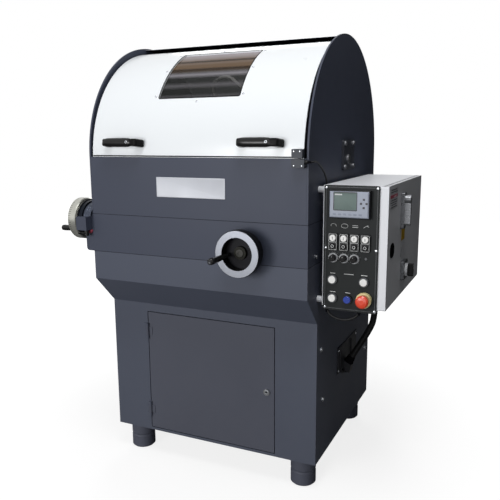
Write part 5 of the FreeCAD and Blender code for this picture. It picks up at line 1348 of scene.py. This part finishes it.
@dataclass(frozen=True)
class Cabinet:
    """Control cabinet: the door's seam, label, blank plate and vent, and the fittings' screws and marks."""

    door: str = "electrical_door"
    face: float = Place.DOOR_FACE
    joint: Point = (0.6148, 0, 1.064)
    joint_ends: Point = (-0.365, 0.2)
    edge: Points = ((0, 0), (0, 0.0004), (0.0004, 0.0006), (0.002, 0.0006))
    label: Point = (-0.293, 1.024)
    label_stand: float = 0.0006
    band: Point = (-0.293, 1.030)
    band_edge: Points = ((0, 0), (0, 0.0003), (0.0003, 0.0004))
    rows: Points = (
        (1.050, 0.080),
        (1.043, 0.092),
        (1.018, 0.088),
        (1.011, 0.094),
        (1.004, 0.070),
        (0.997, 0.090),
    )
    notice: Point = (-0.125, 0.893)
    groove: Point = (-0.150, 0.830)
    vent: Point = (-0.297, 0.860)
    vent_edge: Points = (
        (0, 0),
        (0, 0.0012),
        (0.002, 0.0022),
        (0.006, 0.0022),
        (0.009, 0.0008),
        (0.016, 0.0006),
    )
    fitting_face: float = 0.641
    switch: Point = (-0.118, 0.765)
    switch_face: float = 0.6674
    switch_screws: Points = ((-0.026, 0.026), (0.026, 0.026), (-0.026, -0.026), (0.026, -0.026))
    lever_y: float = -0.164
    lever_screws: Point = (0.922, 1.021)
    lever_face: float = 0.6591
    ribs: Point = (0.935, 0.985, 9)
    rib_edge: Points = ((0, 0), (0, 0.0006), (0.0006, 0.0011))

    def at(self, face: float, place: Point) -> Seat:
        """A seat at a (y, z) point of a face to the right."""
        return Seat((face, *place), Axis.RIGHT)

    def build(self) -> None:
        """Make the cabinet's small parts."""
        line = [(0, end) for end in self.joint_ends]
        seam = Shape().strip(Seat(self.joint, Axis.UP, Axis.BACK), line, 0.0022, 0.0003)
        seam.show("door_joint", "seam_shade", "panel_black")
        label = Shape().plate(self.at(self.face, self.label), 0.112, 0.064, 0.002, self.edge)
        label.show("door_label", "label_tone", "white_plastic", self.door)
        front = self.face + self.label_stand
        band = Shape().plate(self.at(front, self.band), 0.108, 0.010, 0.001, self.band_edge)
        band.show("label_band", "red_cap", "red_plastic", self.door)
        rows = Shape()
        for z, width in self.rows:
            rows.strip(self.at(front, (self.label[0], z)), level_line(width), 0.0022, 0.0003)
        rows.show("label_rows", "seam_shade", "black_plastic", self.door)
        notice = Shape().plate(self.at(self.face, self.notice), 0.055, 0.050, 0.002, self.edge)
        notice.show("door_notice", "label_yellow", "white_plastic", self.door)
        groove = Shape().strip(self.at(self.face, self.groove), [(0, -0.018), (0, 0.016)], 0.003)
        groove.show("door_groove", "seam_shade", "black_plastic", self.door)
        vent = Shape().plate(self.at(self.face, self.vent), 0.058, 0.046, 0.022, self.vent_edge)
        vent.show("door_vent", "seal_rubber", "black_plastic", self.door)
        self.fittings()

    def fittings(self) -> None:
        """Make the small parts of the main switch and of the door's lever."""
        switch = self.at(self.fitting_face, self.switch)
        marks = Shape().strip(switch, [(0, 0.0255), (0, 0.0300)], 0.0014)
        marks.strip(switch, arc(0.0275, 0, 0.0020, 0, 342, 18), 0.0008)
        marks.show("isolator_marks", "button_black", "black_plastic", self.door)
        y, z = self.switch
        screws = Shape()
        for seat in on_right(self.fitting_face, [(y + across, z + up) for across, up in self.switch_screws]):
            screws.pan_screw(seat, 0.0026, 0.0012)
        for seat in on_right(self.fitting_face, [(self.lever_y, height) for height in self.lever_screws]):
            screws.pan_screw(seat, 0.0030, 0.0012)
        screws.show("fitting_screws", "dark_knob", "machined_steel", self.door)
        ribs = Shape()
        for height in np.linspace(*self.ribs[:2], self.ribs[2]):
            ribs.plate(self.at(self.lever_face, (self.lever_y, height)), 0.013, 0.0028, 0.001, self.rib_edge)
        ribs.show("lever_ribs", "swing_handle", "bright_steel", "handle_lever")
        pointer = Shape().strip(self.at(self.switch_face, self.switch), [(0, 0.004), (0, 0.019)], 0.0022)
        pointer.show("isolator_pointer", "print_white", "white_plastic", "isolator")


@dataclass(frozen=True)
class ControlPanel:
    """The operator's panel: outline, screws, icons, button marks, screen and keys.

    Faces are levels along Y, and places on them are (x, z).
    """

    face: float = Place.PANEL_FACE
    centre: Point = (0.5165, 0.867)
    outline: Point = (0.161, 0.384, 0.004)
    screw: Point = (0.0046, 0.0024)
    screw_columns: Point = (0.4365, 0.5965)
    screw_rows: Point = (1.0575, 0.868, 0.6765)
    line: float = 0.0011
    columns: Point = (0.4615, 0.4964, 0.5300, 0.5641)
    icon_row: float = 0.9400
    start_row: float = 0.9018
    stop_row: float = 0.8765
    knobs: Point = (0.4625, 0.4970, 0.5300)
    knob_row: float = 0.8389
    legends: Points = (
        (0.4615, 0.7885, 0.016),
        (0.5620, 0.7885, 0.020),
        (0.5130, 0.7885, 0.030),
        (0.4620, 0.7285, 0.018),
        (0.5110, 0.7285, 0.016),
    )
    lamp: Point = (0.5660, 0.8410)
    lamp_profile: Points = (
        (0.0042, 0),
        (0.0042, 0.0012),
        (0.0034, 0.0016),
        (0.0030, 0.0032),
        (0.0016, 0.0042),
        (0.0003, 0.0045),
    )
    bezel_face: float = -0.3770
    button_face: float = -0.3810
    knob_face: float = -0.3913
    screen: Point = (0.5026, 1.0183)
    case_face: float = -0.3910
    screen_face: float = -0.3890
    screen_edge: Points = ((0, 0), (0, 0.0006), (0.0006, 0.0008))
    key_edge: Points = ((0, 0), (0, 0.0006), (0.0006, 0.0010), (0.0012, 0.0010))
    keys: Points = ((0.5600, 1.0255), (0.5600, 1.0005), (0.5515, 1.0130), (0.5685, 1.0130))
    menu_keys: Point = (0.4701, 0.5501, 6)
    menu_row: float = 0.9790
    status: Point = (0.5026, -0.3898, 1.0385)
    stop: Point = (0.5641, -0.4040, 0.7118)

    def build(self) -> None:
        """Make the panel's small parts."""
        self.border()
        self.icons()
        self.buttons()
        self.display()
        arrows = Shape()
        for turn in (20, 140, 260):
            arrows.strip(Seat(self.stop), arc(0, 0, 0.0135, turn, turn + 60, 12), 0.0014, 0.0006)
        arrows.show("stop_arrows", "print_white", "white_plastic", "emergency_stop")

    def at(self, x: float, z: float, face: Optional[float] = None) -> Seat:
        """A seat on the panel's face, or on another level."""
        return Seat((x, self.face if face is None else face, z))

    def border(self) -> None:
        """The light outline and six screws."""
        outline = Shape().strip(self.at(*self.centre), rectangle(*self.outline), self.line, closed=True)
        outline.show("panel_outline", "fitting_grey", "aluminium_plate")
        seats = [self.at(x, z) for x in self.screw_columns for z in self.screw_rows]
        fasten("panel_screws", Shape.pan_screw, self.screw, seats, "zinc", "bright_steel")

    def icons(self) -> None:
        """Picture signs above the buttons, tick lines round the knobs, plain legends, and a lamp."""
        marks = Shape()
        first, second, third, fourth = (self.at(x, self.icon_row) for x in self.columns)
        marks.strip(first, arc(0, -0.0015, 1, -25, 205, 24) * (0.0085, 0.0058), self.line)
        marks.strip(second, arc(0, 0, 1, 0, 345, 24) * (0.0105, 0.0065), self.line, closed=True)
        for lift in (0.0025, -0.0025):
            marks.strip(third, [(-0.009, lift), (0.009, lift)], self.line * 1.6)
        marks.strip(fourth, [(-0.008, -0.003), (0.001, 0.003), (0.009, 0.0)], self.line * 1.3)
        marks.strip(fourth, [(0.001, 0.003), (0.006, 0.005)], self.line * 1.3)
        for x in self.knobs:
            for turn in range(-135, 136, 30):
                way = np.asarray([math.sin(math.radians(turn)), math.cos(math.radians(turn))])
                marks.strip(self.at(x, self.knob_row), [way * 0.0160, way * 0.0176], 0.0007)
        for x, z, width in self.legends:
            marks.strip(self.at(x, z), level_line(width), 0.0018, 0.0002)
        marks.show("panel_print", "print_white", "white_plastic")
        lamp = Shape().turned(self.at(*self.lamp), self.lamp_profile, 20)
        lamp.show("panel_lamp", "fitting_grey", "grey_plastic")

    def buttons(self) -> None:
        """Outlines on the bezels, and the marks that ride on the buttons."""
        outline = Shape()
        for x in self.columns:
            for z in (self.start_row, self.stop_row):
                seat = self.at(x, z + 0.0002, self.bezel_face)
                outline.strip(seat, rectangle(0.0250, 0.0238, 0.002), 0.0009, closed=True)
        outline.show("bezel_outline", "print_white", "white_plastic")
        for number, x in enumerate(self.columns, start=1):
            seat = self.at(x, self.start_row, self.button_face)
            start = Shape().strip(seat, [(0, -0.0045), (0, 0.0045)], 0.0018)
            start.show(f"start_mark_{number}", "key_dark", "black_plastic", f"start_button_{number}")
            seat = self.at(x, self.stop_row, self.button_face)
            stop = Shape().strip(seat, arc(0, 0, 0.0042, 0, 345, 24), 0.0014, closed=True)
            stop.show(f"stop_mark_{number}", "print_white", "white_plastic", f"stop_button_{number}")
        for number, x in enumerate(self.knobs, start=1):
            seat = self.at(x, self.knob_row, self.knob_face)
            line = Shape().strip(seat, [(0, 0.0045), (0, 0.0085)], 0.0009)
            line.show(f"knob_mark_{number}", "print_white", "white_plastic", f"speed_knob_{number}")

    def display(self) -> None:
        """Screen pane, its dark surround, the keys and the status strip."""
        seat = self.at(*self.screen, self.case_face)
        surround = Shape().strip(seat, rectangle(0.0722, 0.0552, 0.002), 0.0022, 0.0005, True)
        surround.show("screen_surround", "key_dark", "black_plastic")
        seat = self.at(*self.screen, self.screen_face)
        pane = Shape().plate(seat, 0.070, 0.053, 0.001, self.screen_edge)
        pane.show("screen_pane", "screen_glass", "grey_plastic")
        keys = Shape()
        for place in self.keys:
            keys.plate(self.at(*place, self.case_face), 0.0066, 0.0062, 0.0018, self.key_edge)
        keys.show("screen_keys", "key_dark", "black_plastic")
        row = Shape()
        for x in np.linspace(*self.menu_keys[:2], self.menu_keys[2]):
            row.plate(self.at(x, self.menu_row, self.case_face), 0.0100, 0.0058, 0.0015, self.key_edge)
        row.show("menu_keys", "key_pale", "grey_plastic")
        status = Shape().strip(Seat(self.status), [(-0.033, 0), (-0.010, 0)], 0.004, 0.0002)
        status.show("screen_status", "print_white", "white_plastic")


@dataclass(frozen=True)
class Cables:
    """Ribbed conduit, interlock cable and loop cable, with their strain reliefs.

    The routes repeat the points of the rigid parts' source, in metres. A relief's rows are its shares of
    its length and of its swell.
    """

    conduit: Points = (
        (0.42400, -0.0200, 0.368),
        (0.46417, -0.0200, 0.440),
        (0.49860, -0.0200, 0.500),
        (0.51964, -0.0200, 0.554),
        (0.51964, -0.0200, 0.668),
    )
    interlock: Points = (
        (0.3990, -0.4610, 1.13733),
        (0.4209, -0.4610, 1.13733),
        (0.4245, -0.4400, 1.14033),
        (0.4220, -0.4010, 1.12981),
        (0.4190, -0.3560, 1.11227),
        (0.4184, -0.3200, 1.08720),
        (0.4190, -0.3050, 1.05210),
        (0.4190, -0.3050, 1.01200),
    )
    loop: Points = (
        (0.4360, -0.3430, 0.672),
        (0.4360, -0.3430, 0.652),
        (0.4591, -0.3430, 0.636),
        (0.4939, -0.3430, 0.630),
        (0.5254, -0.3430, 0.640),
        (0.5412, -0.3430, 0.656),
        (0.5412, -0.3430, 0.672),
    )
    conduit_radius: float = 0.0120
    interlock_radius: float = 0.0030
    loop_radius: float = 0.0040
    rib: Point = (0.0113, 0.0007)
    relief_length: float = 0.016
    relief: Points = (
        (0, 0.2),
        (0, 1.0),
        (0.25, 0.85),
        (0.3, 0.6),
        (0.45, 0.6),
        (0.5, 0.7),
        (0.65, 0.45),
        (0.7, 0.45),
        (0.85, 0.3),
        (1.0, 0.12),
        (1.0, -0.1),
    )

    def build(self) -> None:
        """Make the three tubes and their reliefs."""
        path = self.even(tube_path(np.asarray(self.conduit)), 360)
        middle, swing = self.rib
        ribs = middle + swing * np.cos(np.arange(len(path)) * math.pi / 2)
        conduit = Shape().tube(path, ribs, 20).show("ribbed_conduit", "cable_black", "conduit_plastic")
        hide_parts("power_conduit")
        cables = ((self.interlock, self.interlock_radius), (self.loop, self.loop_radius))
        pair = Shape()
        for route, radius in cables:
            path = self.even(tube_path(np.asarray(route)), 120)
            pair.tube(path, np.full(len(path), radius))
        tubes = pair.show("cable_tubes", "cable_black", "conduit_plastic")
        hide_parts("control_cables")
        reliefs = Shape()
        for route, radius in (*cables, (self.conduit, self.conduit_radius)):
            for start, ahead in ((route[0], route[1]), (route[-1], route[-2])):
                self.collar(reliefs, np.asarray(start), np.asarray(ahead), radius)
        reliefs.show("strain_reliefs", "seal_rubber", "conduit_plastic")

    def collar(self, shape: Shape, start: np.ndarray, ahead: np.ndarray, radius: float) -> None:
        """A collar that tapers onto the cable with three grooves."""
        way = unit(ahead - start)
        length = self.relief_length * (1 + radius * 60)
        share, swell = np.asarray(self.relief).T
        profile = np.stack([radius * (1 + 0.5 * swell), share * length], axis=1)
        shape.turned(Seat(start, way, unit(np.cross(way, (0.2, 0.9, 0.4)))), profile.tolist(), 24)

    @staticmethod
    def even(path: np.ndarray, count: int) -> np.ndarray:
        """The same path with points at equal steps along it."""
        step = np.linalg.norm(np.diff(path, axis=0), axis=1)
        path = path[np.concatenate([[True], step > 1e-7])]
        along = np.concatenate([[0], np.cumsum(np.linalg.norm(np.diff(path, axis=0), axis=1))])
        want = np.linspace(0, along[-1], count)
        return np.stack([np.interp(want, along, path[:, axis]) for axis in range(3)], axis=1)


@dataclass(frozen=True)
class Works:
    """Fixings inside the grinding chamber."""

    screw: Point = (0.0065, 0.006)
    foot_top: float = 0.9776
    head: Points = ((-0.229, -0.006), (-0.229, 0.106), (-0.071, -0.006), (-0.071, 0.106))
    slide_top: float = 0.9553
    saddle: Points = ((0.084, 0.190), (0.084, 0.020), (0.312, 0.190), (0.312, 0.020))

    def build(self) -> None:
        """Make the screws of the work head and the saddles."""
        for name, top, places, body in (
            ("head_screws", self.foot_top, self.head, "work_carriage"),
            ("saddle_screws", self.slide_top, self.saddle, "grinding_carriage"),
        ):
            seats = on_top(top, places)
            fasten(name, Shape.socket_screw, self.screw, seats, "dark_knob", "machined_steel", body)


# Lamps, floor and camera


@dataclass(frozen=True)
class Lamp:
    """One square lamp that looks at a point."""

    name: str
    place: Point
    target: Point
    size: float
    power: float

    def build(self) -> None:
        """Hang the lamp."""
        data = bpy.data.lights.new(self.name, "AREA")
        data.size = self.size
        data.energy = self.power
        lamp = bpy.data.objects.new(self.name, data)
        lamp.visible_camera = False
        lamp.location = self.place
        way = Vector(self.target) - Vector(self.place)
        lamp.rotation_euler = way.to_track_quat("-Z", "Y").to_euler()
        bpy.context.scene.collection.objects.link(lamp)


@dataclass(frozen=True)
class Studio:
    """White surroundings, a dark board, five lamps and the camera."""

    eye: Point = (1.01649, -2.19087, 1.21547)
    yaw: float = 24.801955
    pitch: float = 10.552072
    roll: float = -0.402752
    lens: float = 44.1668
    sensor: float = 36
    ambient: float = 0.2
    lamps: tuple[Lamp, ...] = (
        Lamp("key", (-1.1, -4.4, 1.3), (0, -0.2, 0.75), 1.6, 77.0),
        Lamp("top", (0.7, -1.3, 3.6), (0.3, -0.1, 1.1), 1.2, 42.0),
        Lamp("low_front", (0.6, -4.0, 0.7), (0, -0.3, 0.6), 1.4, 13.0),
        Lamp("back", (-1.6, 3.4, 2.6), (0, 0, 1.0), 1.6, 40.0),
        Lamp("chamber", (-0.05, -0.15, 1.46), (0, 0.1, 1.1), 0.16, 0.25),
    )

    def build(self) -> None:
        """Make floor, world, lamps and camera."""
        self.make_world()
        self.make_floor()
        self.make_board()
        for lamp in self.lamps:
            lamp.build()
        self.make_camera()
        bpy.context.scene.view_settings.view_transform = "Standard"

    def make_world(self) -> None:
        """White for the camera, reflections and clear plastic; a plain grey for everything else."""
        world = bpy.data.worlds.new("studio")
        world.use_nodes = True
        graph = Graph(world.node_tree)
        light = graph.node("LightPath").outputs
        seen = graph.sum("MAXIMUM", light["Is Camera Ray"], light["Is Glossy Ray"])
        seen = graph.sum("MAXIMUM", seen, light["Is Transmission Ray"])
        strength = graph.scaled(seen, 1 - self.ambient, self.ambient)
        back = graph.node("Background", {"Color": (1, 1, 1, 1), "Strength": strength})
        graph.feed(graph.node("OutputWorld").inputs["Surface"], back.outputs[0])
        bpy.context.scene.world = world

    def stand(self, name: str, corners: np.ndarray, material: bpy.types.Material) -> bpy.types.Object:
        """Stage a grid surface.

        Args:
            name: The object's name.
            corners: A grid of points, its two directions first.
            material: Its material.

        Returns:
            The staged object.
        """
        count, wide = corners.shape[:2]
        number = np.arange(count * wide).reshape(count, wide)
        quads = np.stack([number[:-1, :-1], number[1:, :-1], number[1:, 1:], number[:-1, 1:]], axis=-1)
        mesh = bpy.data.meshes.new(name)
        mesh.from_pydata(corners.reshape(-1, 3).tolist(), [], quads.reshape(-1, 4).tolist())
        mesh.materials.append(material)
        stage = bpy.data.objects.new(name, mesh)
        bpy.context.scene.collection.objects.link(stage)
        return stage

    def make_floor(self) -> None:
        """A wide floor, white to the camera but for the object's shadow."""
        spread = np.linspace(-7, 7, 29)
        across, along = np.meshgrid(spread, spread, indexing="ij")
        surface = Surface("floor_white")
        seen = surface.node("LightPath").outputs["Is Camera Ray"]
        away = surface.node("VectorMath", {0: surface.place}, operation="LENGTH").outputs["Value"]
        fade = surface.ramp(away, 0.6, 1.9, 0.72)
        tone = surface.blend(seen, (0.25, 0.25, 0.25, 1), (0.9, 0.9, 0.9, 1))
        surface.give({"Base Color": tone, "Roughness": 0.9, "Specular IOR Level": 0.1})
        glow = surface.node("Emission", {"Color": (1, 1, 1, 1), "Strength": 1.14}).outputs[0]
        inputs = {0: surface.times(seen, fade), 1: surface.shader.outputs[0], 2: glow}
        surface.feed(surface.end, surface.node("MixShader", inputs).outputs[0])
        self.stand("floor", np.stack([across, along, np.zeros_like(across)], axis=-1), surface.material)

    def make_board(self) -> None:
        """A dark curved board at the machine's right, seen only by light and reflections.

        A quarter of an ellipse round the machine's right rear corner, carried up from the floor.
        """
        turn = np.linspace(-0.25, math.pi / 2, 25)[:, None]
        rise = np.asarray([0.0, 2.5])[None, :]
        x, y = 0.5 + 1.4 * np.cos(turn), -0.2 + 3.0 * np.sin(turn)
        surface = Surface("board_dark")
        surface.give({"Base Color": (0.03, 0.03, 0.03, 1), "Roughness": 0.9, "Specular IOR Level": 0.1})
        corners = np.stack(np.broadcast_arrays(x, y, rise), axis=-1)
        self.stand("side_board", corners, surface.material).visible_camera = False

    def make_camera(self) -> None:
        """The view of the photo: turned, tipped and rolled as it was taken."""
        yaw, pitch, roll = (math.radians(angle) for angle in (self.yaw, self.pitch, self.roll))
        ahead = Vector((-math.sin(yaw) * math.cos(pitch), math.cos(yaw) * math.cos(pitch), -math.sin(pitch)))
        right = Vector((math.cos(yaw), math.sin(yaw), 0))
        up = right.cross(ahead)
        side = right * math.cos(roll) + up * math.sin(roll)
        top = up * math.cos(roll) - right * math.sin(roll)
        turn = Matrix((side, top, -ahead)).transposed()
        data = bpy.data.cameras.new("camera")
        data.lens = self.lens
        data.sensor_width = self.sensor
        camera = bpy.data.objects.new("camera", data)
        camera.matrix_world = Matrix.Translation(Vector(self.eye)) @ turn.to_4x4()
        bpy.context.scene.collection.objects.link(camera)
        bpy.context.scene.camera = camera


def dress(nodes: dict[str, bpy.types.Object]) -> None:
    """Give every shown node of the frame its finish.

    Args:
        nodes: The frame's objects by node name.
    """
    for finish, names in NODE_FINISHES.items():
        for name in names:
            for place in nodes[name].material_slots:
                place.material = FINISHES[finish]
    dressed = {name for names in NODE_FINISHES.values() for name in names}
    log.info("nodes without a finish: %s", sorted(set(nodes) - dressed))


PIECES = (
    Base(),
    Bed(),
    Handwheel("front", "infeed", (0.198, -0.4643, 0.855), Axis.FRONT, (Axis.RIGHT, Axis.UP), 192, 0.1530),
    Handwheel("left", "cross", (-0.4393, -0.405, 0.922), Axis.LEFT, (Axis.UP, Axis.BACK), 205, 0.1310),
    Hood(),
    Interlock(),
    Cabinet(),
    ControlPanel(),
    Cables(),
    Works(),
)


def main() -> None:
    """Dress the frame and add the small parts, from the floor up, then the studio."""
    logging.basicConfig(level=logging.INFO, format="%(message)s")
    dress(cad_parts)
    for pieces in PIECES:
        pieces.build()
        log.info("%s is ready", type(pieces).__name__)
    Studio().build()


if __name__ == "__main__":
    main()
